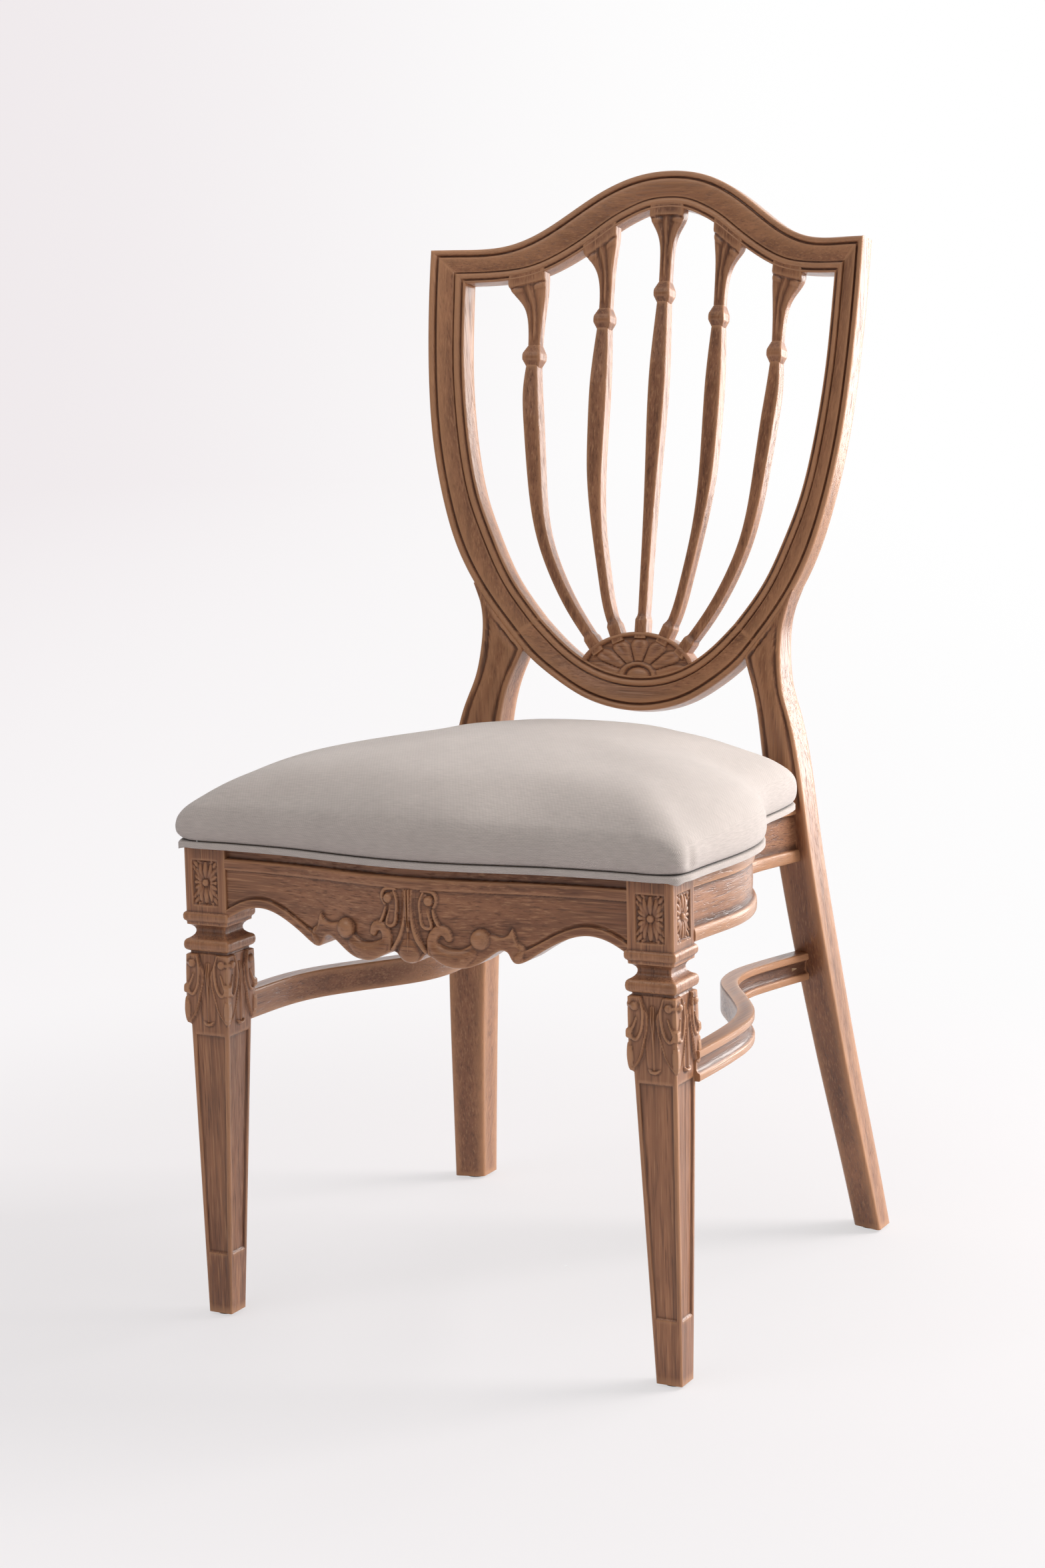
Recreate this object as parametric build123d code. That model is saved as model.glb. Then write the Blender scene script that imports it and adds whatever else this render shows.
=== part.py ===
from build123d import *
import math
import os

# driving dimensions, millimetres and degrees
seat_width = 449.0          # over the two front leg blocks
seat_depth = 384.0          # front of the blocks to the front of the rear legs at the rails
rail_top = 409.0
rail_height = 54.0
front_block = 40.0          # square of the front leg at the rails
foot_square = 22.5          # square of the front foot
leg_splay = 7.0             # how far the front foot stands outside the block above
rear_rake = 66.0            # how far the rear foot stands behind the rail line
rear_splay = 46.0           # how far the rear foot stands outside the rail line
shield_width = 431.0
shield_bottom = 481.0
shield_height = 490.0       # bottom of the oval to the top of the crest
back_tilt = 10.556          # lean of the shield
dish_radius = 457.0         # hollow of the shield in plan
board = 22.0                # thickness of the shield
stretcher_base = 244.5
stretcher_height = 25.0
stretcher_width = 15.5
rail_thickness = 22.0
apron_drop = 78.0           # front apron, top to lowest lobe
crown = 78.0                # cushion above the rails
glide = 2.0
abacus_height = 6.6         # band at the head of each spindle
relief = 3.0                # how far the apron's carving stands out
leaf_relief = 1.6           # how far the leaves stand out of the front legs

# tables below were drawn at these sizes and are stretched to the ones above
drawn_seat_width = 449.0
drawn_seat_depth = 384.0
front_y = 3.0
block_x = seat_width / 2 - front_block / 2
block_y = front_y + front_block / 2
rail_base = rail_top - rail_height
rear_y = front_y + seat_depth
tilt = math.radians(back_tilt)
back_shift = rear_y - 387.0


def wide(x):
    return x * seat_width / drawn_seat_width


def deep(y):
    return front_y + (y - 3.0) * seat_depth / drawn_seat_depth


def mirrored(half):
    return [(-x, y) for x, y in reversed(half) if x > 0.01] + list(half)


def shifted(points, gap):
    # every point moves along the local normal, to the right of travel when gap is positive
    moved = []
    for i, (x, y) in enumerate(points):
        ax, ay = points[max(i - 1, 0)]
        bx, by = points[min(i + 1, len(points) - 1)]
        length = math.hypot(bx - ax, by - ay)
        moved.append((x + gap * (by - ay) / length, y - gap * (bx - ax) / length))
    return moved


def closed_by(points, *corners):
    curve = Spline(*points)
    rest = Polyline(points[-1], *corners, points[0])
    return make_face([curve.edge()] + list(rest.edges()))


def between(one, two):
    first = Spline(*one)
    second = Spline(*two)
    ends = [Line(one[0], two[0]), Line(one[-1], two[-1])]
    return make_face([first.edge(), second.edge()] + [e.edge() for e in ends])


def upright(face, z0, z1):
    return extrude(Pos(0, 0, z0) * face, amount=z1 - z0, dir=(0, 0, 1))


def pin(p, q, radius):
    # round pin between two points
    way = Vector(*q) - Vector(*p)
    plane = Plane(origin=p, z_dir=way)
    return extrude(plane * Circle(radius), amount=way.length)


def square(side, x, y, z):
    return Pos(x, y, z) * Rectangle(side, side)


def both(shape):
    return [shape, mirror(shape, about=Plane.YZ)]


# shield frame: X across, Y up the lean, Z towards the sitter
shield_plane = Plane(origin=(0, 321.5 + back_shift, 0), x_dir=(1, 0, 0),
                     z_dir=(0, -math.cos(tilt), math.sin(tilt)))


def shield_x(x):
    return x * shield_width / 431.0


def lift(x, z):
    # a height above the floor, laid on the leaning hollow face
    across = shield_x(x)
    height = shield_bottom + (z - 481.0) * shield_height / 490.0
    forward = dish_radius - math.sqrt(dish_radius ** 2 - across ** 2)
    return (across, (height - forward * math.sin(tilt)) / math.cos(tilt))


def lifted(points):
    return [lift(x, z) for x, z in points]


def dish(near, far):
    # hollow board between two depths behind its front face
    reach = shield_bottom + shield_height
    tube = Cylinder(dish_radius + far, 1.6 * reach) - Cylinder(dish_radius + near, 1.6 * reach)
    return Pos(0, 0.6 * reach, dish_radius) * Rot(90, 0, 0) * tube


def standing(face):
    return extrude(Pos(0, 0, -70) * face, amount=210, dir=(0, 0, 1))


crest_top = [(0, 971), (33.3, 967), (66.7, 953.5), (100, 932), (125, 916.5), (150, 907), (175, 904.3),
             (216, 904.5), (240, 904.5)]
crest_low = [(0, 937.5), (16.7, 936), (33.3, 930.3), (50, 921.7), (66.7, 910.3), (83.3, 899.2), (100, 889.5),
             (125, 879), (150, 874.7), (185, 873.4), (205, 873.4)]
side_out = [(216.2, 1010), (215.5, 894), (214, 839), (210.5, 784), (203.8, 728), (191.9, 673), (176, 626),
            (157, 591), (134.3, 560), (110, 531.5), (80, 507.5), (51.4, 491.4), (22.9, 483.1), (0, 481)]
side_in = [(185.4, 960), (184.9, 873), (184, 845), (181.8, 800), (177, 755), (170, 713), (160, 674),
           (146.4, 640), (127.1, 601.4), (98.6, 564), (71.4, 538.5), (45, 522), (22, 514.6), (0, 512.5)]


def shield_region(gap):
    under = closed_by(shifted(lifted(mirrored(crest_top)), gap), (260, 300), (-260, 300))
    inside = closed_by(shifted(lifted([(-x, z) for x, z in side_out[:-1]] + side_out[::-1]), -gap))
    return under & inside


def opening_region(gap):
    under = closed_by(shifted(lifted(mirrored(crest_low)), -gap), (260, 300), (-260, 300))
    inside = closed_by(shifted(lifted([(-x, z) for x, z in side_in[:-1]] + side_in[::-1]), gap))
    return under & inside


def make_shield():
    ring = standing(shield_region(0) - opening_region(0)) & dish(0, board)
    steps = [(shield_region(5.5) - shield_region(7.6), 2.2), (shield_region(7.6) - opening_region(9.6), 1.0),
             (opening_region(9.6) - opening_region(8.2), 2.6), (opening_region(3.2) - opening_region(0), 1.8)]
    for face, depth in steps:
        ring = ring - (standing(face) & dish(-2, depth))
    return ring


def shield_corners():
    outer = Vector(*lift(215.6, 904.5))
    inner = Vector(*lift(184.9, 873.4))
    return outer, inner


def shield_cuts():
    # mitre at the top corners and a scarf where the oval turns under
    outer, inner = shield_corners()
    away = (outer - inner) * 2
    far = outer + away
    near = inner - (outer - inner) * 0.35
    crest = Polyline((-far.X, far.Y), (-near.X, near.Y), (near.X, near.Y), (far.X, far.Y), (far.X, 1200),
                     (-far.X, 1200), close=True)
    a = Vector(*lift(98.6, 562.9))
    b = Vector(*lift(122.9, 545.0))
    run = b - a
    one = a - run * 0.6
    two = b + run * 5
    low = Polyline((-two.X, two.Y), (-one.X, one.Y), (one.X, one.Y), (two.X, two.Y), (two.X, 200), (-two.X, 200),
                   close=True)
    return make_face(crest.edges()), make_face(low.edges())


spindles = {
    "outer": dict(
        shaft=[(122.6, 797, 10.5), (122.2, 775, 13.8), (119.7, 750, 14.5), (113.8, 700, 13.2), (102.6, 640, 10.4),
               (86, 600, 9.8), (68.3, 570, 9.6), (52, 548, 9.4)],
        inner=[(117, 812), (116.4, 835), (114.8, 857), (114.3, 872), (115.5, 890)],
        outer=[(128, 812), (129, 833), (134, 851), (142, 861), (146.8, 868), (147, 882)],
        knop=(122.4, 805, 16.4), foot=(48.2, 543, 36.5), top=(131, 880)),
    "inner": dict(
        shaft=[(57.8, 830, 11), (58, 800, 14.8), (58, 770, 16.4), (57.6, 735, 15.8), (56.6, 700, 14.3),
               (50.2, 645, 10), (41.2, 600, 8.9), (33.5, 570, 8.8), (28, 556, 8.8)],
        inner=[(52.2, 845), (52, 873), (51.2, 892), (49.4, 910), (49.4, 930)],
        outer=[(63.4, 845), (64.2, 868), (67.5, 881), (73, 890), (79.3, 898), (80.5, 912)],
        knop=(57.8, 838, 16.4), foot=(26.8, 554.5, 23.4), top=(65, 911)),
    "centre": dict(
        shaft=[(0, 853, 11), (0, 820, 14.2), (0, 785, 16.4), (0, 745, 15.5), (0, 700, 12.5), (0, 645, 9.8),
               (0, 600, 8.8), (0, 558, 8.2)],
        inner=[(-5.7, 868), (-5.9, 890), (-7.2, 906), (-11.4, 918), (-16.2, 927), (-16.8, 942)],
        outer=[(5.7, 868), (5.9, 890), (7.2, 906), (11.4, 918), (16.2, 927), (16.8, 942)],
        knop=(0, 861, 16.4), foot=(0, 560, 0), top=(0, 938)),
}


def fan_region():
    x, v = lift(0, 513)
    return (Pos(x, v) * Ellipse(shield_x(60), 39.7)) & opening_region(0)


def make_fan():
    x, v = lift(0, 513)
    whole = fan_region()
    body = standing(whole) & dish(3.4, board - 2)
    rim = whole - Pos(x, v) * Ellipse(shield_x(55.5), 35.4)
    parts = standing(rim) & dish(0.2, board - 2)
    button = (Pos(x, v) * Ellipse(16.5, 11)) & opening_region(0)
    parts = parts + (standing(button) & dish(1.6, 6))
    for turn in (-72, -48, -24, 0, 24, 48, 72):
        reach = 25.5 + 11.5 * abs(math.sin(math.radians(turn)))
        petal = Pos(x, v) * Rot(0, 0, -turn) * Pos(0, reach) * Ellipse(4.6, 9.2)
        parts = parts + (standing(petal & whole) & dish(2.0, 6))
    return body + parts


def tenon(x, z, turn, depth):
    # flat tongue inside the board, turned to the line of its spindle
    across, v = lift(x, z)
    return standing(Pos(across, v) * Rot(0, 0, -turn) * Rectangle(6, depth)) & dish(7, 13)


def make_spindle(kind):
    plan = spindles[kind]
    left = [lift(x - w / 2, z) for x, z, w in plan["shaft"]]
    right = [lift(x + w / 2, z) for x, z, w in plan["shaft"]]
    body = standing(between(left, right) - fan_region()) & dish(2.5, 16.5)
    head = between(lifted(plan["inner"]), lifted(plan["outer"])) & opening_region(0)
    body = body + (standing(head) & dish(4.5, 15))
    abacus = head - opening_region(-abacus_height)
    body = body + (standing(abacus) & dish(2.0, 15.6))
    kx, kz, kw = plan["knop"]
    kx, kv = lift(kx, kz)
    h = kw / 2
    knop = Polyline((-5.6, -10.3), (-h, -3), (-h, 2), (-5.6, 10.3), (5.6, 10.3), (h, 2), (h, -3), (5.6, -10.3),
                    close=True)
    body = body + (standing(Pos(kx, kv) * make_face(knop.edges())) & dish(1.0, 17.5))
    fx, fz, turn = plan["foot"]
    fx, fv = lift(fx, fz)
    block = Polyline((-5.8, -13), (-5.8, 4.5), (-3.6, 6.5), (0, 9.5), (3.6, 6.5), (5.8, 4.5), (5.8, -13), close=True)
    foot = Pos(fx, fv) * Rot(0, 0, -turn) * make_face(block.edges())
    body = body + (standing(foot & opening_region(0) - fan_region()) & dish(1.4, 16.5))
    return body + spindle_tenons(kind)


def spindle_tenons(kind):
    fx, fz, turn = spindles[kind]["foot"]
    slope = math.radians(turn)
    low = tenon(fx - 13 * math.sin(slope), fz - 13 * math.cos(slope), turn, 18)
    tx, tz = spindles[kind]["top"]
    return low + tenon(tx, tz, 0, 20)


post_out = [(223.2, 0), (216.6, 60), (209.8, 120), (203.3, 180), (190.4, 300), (181.2, 380), (171, 457), (163, 486),
            (155.5, 507), (151, 535), (152.2, 570), (161, 597)]
post_in = [(195, 0), (187.4, 60), (179.1, 120), (170.6, 180), (154.2, 300), (143.4, 380), (132.8, 457), (128.8, 483),
           (121.5, 510), (112, 536), (108, 560)]
leg_front = [(514, 0), (499, 60), (483.5, 120), (469, 180), (456.3, 240), (445, 300), (434.6, 380), (430, 450),
             (432.6, 500), (439, 545), (450, 605)]
leg_back = [(543, 0), (530, 60), (516, 120), (502, 180), (489.6, 240), (479, 300), (468.6, 380), (464, 450),
            (465, 500), (469, 545), (477, 605)]
turn_in = 0.28


def post_x(x, z):
    # the splay grows from the rail line down to the floor, the post above keeps to the shield
    grow = max(0.0, 1 - z / 380)
    inset = max(0.0, min(1.0, (z - 420) / 60))
    base = wide(x) * (1 - inset) + shield_x(x) * inset
    return base + (rear_splay - 46.0) * grow


def post_z(z):
    low = z * rail_base / 355.0
    high = shield_bottom + (z - 481.0) * shield_height / 490.0
    if z < 355:
        return low
    if z > 481:
        return high
    share = (z - 355.0) / 126.0
    return rail_base + share * (shield_bottom - rail_base)


def post_y(y, z):
    grow = max(0.0, 1 - z / 380)
    lean = (math.tan(tilt) - 0.18636) * post_z(z) * min(1.0, max(0.0, (z - 300) / 200))
    return y + back_shift + (rear_rake - 66.0) * grow + lean


def front_view(points):
    return [(post_x(x, z), post_z(z)) for x, z in points]


def side_view(points):
    return [(post_y(y, z), post_z(z)) for y, z in points]


def facing(face):
    # a drawing in X and Z, cut through from front to back
    return extrude(Plane.XZ * face, amount=900, dir=(0, 1, 0)) + extrude(Plane.XZ * face, amount=200, dir=(0, -1, 0))


def sideways(face):
    # a drawing in Y and Z, cut across with the inward turn of the leg
    return Solid.extrude((Plane.YZ * face).face(), Vector(320, -320 * turn_in, 0))


def make_rear_leg():
    lower = between(front_view(post_out), front_view(post_in))
    leg = facing(lower) & sideways(between(side_view(leg_front), side_view(leg_back)))
    skin = sideways(between(side_view([(y - 3, z) for y, z in leg_front]), side_view([(y + 1.6, z) for y, z in leg_front])))
    upper = [p for p in post_out if p[1] > 375]
    lane = between(shifted(front_view(upper), -4.2), shifted(front_view(upper), -6.4))
    inner = [p for p in post_in if p[1] > 375]
    lane_in = between(shifted(front_view(inner), 4.2), shifted(front_view(inner), 6.4))
    leg = leg - (facing(lane) & skin) - (facing(lane_in) & skin)
    leg = leg - shield_plane.location * standing(shield_region(0))
    leg = leg.solids().sort_by(SortBy.VOLUME)[-1]
    return leg - Pos(0, 0, glide / 2 - 1) * Box(900, 2000, glide + 2)


def leg_centre(z):
    share = 1 - z / rail_base
    return block_x + leg_splay * max(0.0, share)


def stack(levels):
    faces = [square(side, leg_centre(z), block_y, z) for z, side in levels]
    return loft(faces, ruled=True)


def leg_side(z):
    top = rail_base - 92.0
    return foot_square + (front_block - 3.0 - foot_square) * z / top


def leaf_sketch(top):
    # corner leaves with their drooping tips, and three flutes between them, drawn about the leg's middle line
    loop = [(20.5, top + 55), (21.5, top + 40), (21.5, top + 2), (13, top + 1), (9, top + 12), (12, top + 27), (9, top + 42),
            (12.5, top + 54)]
    sketch = make_face(Spline(*loop, periodic=True).edges())
    sketch = sketch + mirror(sketch, about=Plane.YZ)
    sketch = sketch - [Pos(x, top + 46) * Circle(5.2) for x in (-13.6, 13.6)]
    sketch = sketch + [Pos(x, top + 46) * Circle(3.6) for x in (-13.6, 13.6)]
    for x in (-3.4, 0, 3.4):
        flute = Polyline((x - 1.2, top + 54), (x + 1.2, top + 54), (0.6 * x + 0.8, top + 4), (0.6 * x - 0.8, top + 4),
                         close=True)
        sketch = sketch + make_face(flute.edges())
    return sketch


def leaf_work(b, top):
    skin = stack([(top + 1, front_block + 2 * leaf_relief), (top + 5, front_block + 2.8 + 2 * leaf_relief),
                  (b - 50, front_block + 2 * leaf_relief), (b - 38, front_block - 2 + 2 * leaf_relief)])
    middle_x = leg_centre(top + 28)
    leaves = extrude(Plane.XZ * leaf_sketch(top), amount=60, both=True)
    front = Pos(middle_x, block_y, 0) * leaves
    side = Pos(middle_x, block_y, 0) * Rot(0, 0, 90) * leaves
    return skin & (front + side)


def rosette(depth):
    # a long daisy: petals about a button, with a leaf in each corner of its panel
    petals = Circle(3.3)
    for turn, reach, length in ((0, 10.2, 6.2), (25, 9.4, 5.4), (56, 7.4, 4.2), (90, 6.6, 3.4)):
        for way in (turn, -turn, 180 - turn, 180 + turn):
            petals = petals + Rot(0, 0, way) * Pos(0, reach) * Ellipse(2.0, length)
    for x in (-1, 1):
        for z in (-1, 1):
            petals = petals + Pos(x * 10, z * 15.5) * Rot(0, 0, -35 * x * z) * Ellipse(1.6, 3.4)
    return extrude(petals, amount=depth)


def make_front_leg():
    b = rail_base
    top = b - 92
    leg = stack([(glide, leg_side(glide)), (top, leg_side(top))])
    for turn in range(4):
        z0 = 56.0
        z1 = top - 7
        faces = []
        for z in (z0, z1):
            half = leg_side(z) / 2
            way = Rot(0, 0, 90 * turn) * Pos(half, 0) * Rectangle(2.6, leg_side(z) - 6.6)
            faces.append(Pos(leg_centre(z), block_y, z) * way)
        leg = leg - loft(faces, ruled=True)
    leg = leg + stack([(top, front_block), (top + 5, front_block + 2.8), (b - 50, front_block), (b - 37, front_block - 2)])
    leg = leg + leaf_work(b, top)
    leg = leg + stack([(b - 37, front_block - 4), (b - 34.5, front_block - 4)])
    leg = leg + fillet(stack([(b - 34.5, front_block + 4), (b - 24, front_block + 4)]).edges().filter_by(
        lambda e: abs(e.tangent_at(0.5).Z) < 0.2), 4.2)
    leg = leg + stack([(b - 24, front_block - 3), (b - 21, front_block - 9), (b - 18, front_block - 11.5),
                       (b - 15, front_block - 9), (b - 12, front_block - 3)])
    leg = leg + stack([(b - 12, front_block), (b - 9, front_block)])
    leg = leg + fillet(stack([(b - 9, front_block + 4.4), (b - 1, front_block + 4.4)]).edges().filter_by(
        lambda e: abs(e.tangent_at(0.5).Z) < 0.2), 3.2)
    leg = leg + Pos(block_x, block_y, (b - 1 + rail_top) / 2) * Box(front_block, front_block, rail_top - b + 1)
    tall = rail_height - 16
    mid = b + 25
    half = front_block / 2
    panel = Pos(block_x, front_y, mid) * Box(25, 4, tall)
    flower = Pos(block_x, front_y + 2.5, mid) * Rot(90, 0, 0) * rosette(2.2)
    leg = leg - panel + flower
    leg = leg - Pos(block_x + half, block_y, mid) * Box(4, 25, tall)
    return leg + Pos(block_x + half - 2.5, block_y, mid) * Rot(0, 0, 90) * Rot(90, 0, 0) * rosette(2.2)


apron_plan = [(0, -13), (40, -9.6), (60, -6.6), (80, -3.2), (100, -0.2), (125, 3), (150, 4.8), (200, 5.5)]
scallop = [(186, 349), (172, 357), (150, 361.7), (136, 358.8), (121, 351.8), (108, 344), (100, 338.8)]
hook = [(96, 336.9), (89.5, 336.6), (86.5, 340.5), (84, 344.6), (79.5, 346.2), (74, 344)]
lobe = [(66, 338.4), (56, 332.4), (46, 330), (35, 331), (25, 335.5), (17, 339.4)]
ledge = [(186, 357.5), (172, 364.8), (150, 369.2), (136, 366.4), (121, 359.8), (108, 352.4), (96, 346)]


crescent = [(17, 354), (21, 349.5), (30, 347), (40, 345.8), (50, 347.6), (56, 352), (62, 358)]
curl = (27.0, 355.4, 8.0)
leaf_low = [(64, 353), (76, 354.4), (84, 356.6), (89.5, 361)]
leaf_high = [(64, 359.6), (75, 358.4), (82, 360.6), (87, 365.4)]
spray_in = [(7, 389), (5.6, 380), (7.2, 370), (11, 361.6)]
spray_out = [(12.6, 389), (11.6, 380), (13, 371), (17.4, 362.4)]
shell_side = [(6.4, 391.4), (6.2, 378), (8.4, 360), (13.5, 343)]
rib_feet = ((0, 0), (2.8, 3.6), (5.2, 8.6))


def apron_curve(gap):
    half = [(wide(x), y + gap) for x, y in apron_plan]
    return mirrored(half)


def apron_band(near, far):
    return between(apron_curve(near), apron_curve(far))


def apron_z(z):
    return rail_top - (409 - z) * apron_drop / 78.0


def front_slab(near, far, z0, z1):
    reach = Box(2 * block_x - front_block, 200, 400)
    return upright(apron_band(near, far), z0, z1) & Pos(0, 0, (z0 + z1) / 2) * reach


def drawn(points):
    return [(wide(x), apron_z(z)) for x, z in points]


def carving_sketches():
    # low work: scrolls, leaves and the plate of the shell; high work: its ribs
    low_end = apron_z(326)
    scroll = drawn(crescent)
    scroll = closed_by(scroll, (scroll[-1][0], low_end), (scroll[0][0], low_end))
    eye = Pos(wide(curl[0]), apron_z(curl[1])) * Circle(curl[2])
    half = scroll + eye + between(drawn(leaf_low), drawn(leaf_high)) + between(drawn(spray_in), drawn(spray_out))
    edge = drawn(shell_side)
    plate = between(edge, [(-x, z) for x, z in edge])
    low = half + mirror(half, about=Plane.YZ) + plate
    high = None
    for head, foot in rib_feet:
        for side in ((-1, 1) if head else (1,)):
            a, c = side * wide(head), side * wide(foot)
            rib = Polyline((a - 0.9, apron_z(391)), (a + 0.9, apron_z(391)), (c + 1.5, apron_z(345)),
                           (c - 1.5, apron_z(345)), close=True)
            face = make_face(rib.edges())
            high = face if high is None else high + face
    ring = Pos(wide(curl[0]), apron_z(curl[1])) * (Circle(curl[2]) - Circle(curl[2] - 2.6))
    high = high + ring + mirror(ring, about=Plane.YZ)
    return low, high


def make_front_apron(legs):
    # lower outline, one half then its mirror
    half = [(wide(x), apron_z(z)) for x, z in scallop + hook + lobe]
    tip = [(wide(x), apron_z(z)) for x, z in [(13.5, 338.6), (8, 333.4), (0, 331)]]
    right = Spline(*half)
    left = mirror(right, about=Plane.YZ)
    drop = Spline(*[(-x, z) for x, z in tip[:2]], tip[2], *tip[1::-1])
    joins = [Line(half[-1], tip[0]), Line((-half[-1][0], half[-1][1]), (-tip[0][0], tip[0][1]))]
    end = half[0][0]
    over = Polyline(half[0], (end, rail_top + 20), (-end, rail_top + 20), (-end, half[0][1]))
    edges = [right.edge(), left.edge(), drop.edge()] + [j.edge() for j in joins] + list(over.edges())
    outline = facing(make_face(edges))
    low = rail_top - apron_drop - 4
    body = front_slab(0, rail_thickness + 2, low, rail_top - 8) & outline
    body = body + front_slab(2.5, rail_thickness + 2, rail_top - 8.2, rail_top)
    body = body + front_slab(-2.2, 4, rail_top - 17.5, rail_top - 7.5)
    low_line = [(wide(x), apron_z(z - 7)) for x, z in scallop]
    high_line = [(wide(x), apron_z(z)) for x, z in ledge]
    for strip in both(facing(between(low_line, high_line))):
        body = body + (front_slab(-2.2, 4, low, rail_top - 20) & strip & outline)
    low_work, high_work = carving_sketches()
    for sketch, proud in ((low_work, relief), (high_work, relief + 1.2)):
        body = body + (front_slab(-proud, 4, low, rail_top - 17.5) & facing(sketch) & outline)
    for x, z, r in ((60.5, 352.3, 8.2), (18.2, 381.8, 4.2)):
        depth = -12.5 if x < 30 else -6.6
        for side in (-1, 1):
            body = body + Pos(side * wide(x), depth + 1, apron_z(z)) * Sphere(r)
    for leg in legs:
        body = body - leg
    return body.solids().sort_by(SortBy.VOLUME)[-1]


# one wandering line serves the side aprons and the stretchers below them
side_line = [(221, 30), (226, 78), (229, 110), (227, 140), (219, 171), (205, 202), (187, 231), (171, 256), (160, 278),
             (154.5, 298), (154, 319), (158, 344), (164, 369), (171, 396), (175, 410)]
low_line = [(229.5, 30), (230, 81), (229, 112), (227, 138), (222, 163), (213.5, 186), (200, 210), (184, 235),
            (170, 256), (159.5, 277), (154.7, 298), (154.4, 320), (159, 345), (165, 369), (173, 398), (179, 418)]


def rail_plan(points, near, far):
    line = [(wide(x), deep(y)) for x, y in points]
    return between(shifted(line, -near), shifted(line, -far))


def make_side_apron(leg_front_part, leg_rear_part):
    b = rail_base
    body = upright(rail_plan(side_line, 0, rail_thickness), b, rail_top)
    body = body + upright(rail_plan(side_line, -3.2, 4), b, b + 11.5)
    body = body + upright(rail_plan(side_line, -2.0, 4), rail_top - 11, rail_top)
    body = body - leg_front_part - leg_rear_part
    return body.solids().sort_by(SortBy.VOLUME)[-1]


def make_stretcher(leg_front_part, leg_rear_part):
    z0 = stretcher_base
    z1 = stretcher_base + stretcher_height
    body = upright(rail_plan(low_line, 0, stretcher_width), z0, z1)
    body = body - upright(rail_plan(low_line[1:-1], -2, 3.6), z0 + 6.5, z1 - 6.5)
    body = body - leg_front_part - leg_rear_part
    return body.solids().sort_by(SortBy.VOLUME)[-1]


def make_rear_apron(legs):
    body = Pos(0, rear_y + 22, rail_base + (rail_height - 4) / 2) * Box(2 * wide(165), rail_thickness, rail_height - 4)
    for leg in legs:
        body = body - leg
    return body.solids().sort_by(SortBy.VOLUME)[-1]


def make_corner_block(points, z0, z1, others):
    outline = Polyline(*[(wide(x), deep(y)) for x, y in points], close=True)
    body = upright(make_face(outline.edges()), z0, z1)
    for other in others:
        body = body - other
    return body.solids().sort_by(SortBy.VOLUME)[-1]


cushion_line = [(0, -22), (45, -19), (85, -12.5), (120, -7), (160, -4.5), (200, -4.5), (222, -3.5), (233, 4),
                (237, 25), (240, 75), (241, 122), (236, 160), (224, 192), (209, 220), (197.5, 246), (192, 272),
                (191, 302), (189, 332), (182, 360), (166, 375), (130, 379.5), (70, 381.5), (0, 382)]


def cushion_face(scale, z):
    half = []
    for x, y in cushion_line:
        half.append((wide(x) * scale, deep(185 + (y - 185) * scale)))
    ring = half[:-1] + [(half[-1][0], half[-1][1])] + [(-x, y) for x, y in reversed(half[1:-1])]
    return Pos(0, 0, z) * make_face(Spline(*ring, periodic=True).edges())


def make_cushion():
    t = rail_top
    c = crown
    levels = [(11, 0.980), (16, 0.994), (0.30 * c, 1.0), (0.42 * c, 0.985), (0.60 * c, 0.925),
              (0.78 * c, 0.80), (0.92 * c, 0.58), (c, 0.26)]
    return loft([cushion_face(s, t + h) for h, s in levels], ruled=True)


def make_board():
    return upright(cushion_face(0.93, 0), rail_top + 1, rail_top + 11)


def make_border():
    return upright(cushion_face(0.9655, 0) - cushion_face(0.93, 0), rail_top + 1, rail_top + 11)


def make_dust_cover():
    return upright(cushion_face(0.955, 0), rail_top, rail_top + 1)


def make_welt():
    return upright(cushion_face(0.986, 0) - cushion_face(0.9655, 0), rail_top, rail_top + 7)


def local_pin(x, z, dx, dz, half, radius):
    # pin inside the shield board, laid along its hollow face
    across, v = lift(x, z)
    forward = dish_radius - math.sqrt(dish_radius ** 2 - across ** 2) - board / 2
    slope = across / math.sqrt(dish_radius ** 2 - across ** 2)
    length = math.hypot(dx, dz)
    step = (half * dx / length, half * dz / length)
    p = (across - step[0], v - step[1], forward - slope * step[0])
    q = (across + step[0], v + step[1], forward + slope * step[0])
    return shield_plane.location * pin(p, q, radius)


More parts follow.
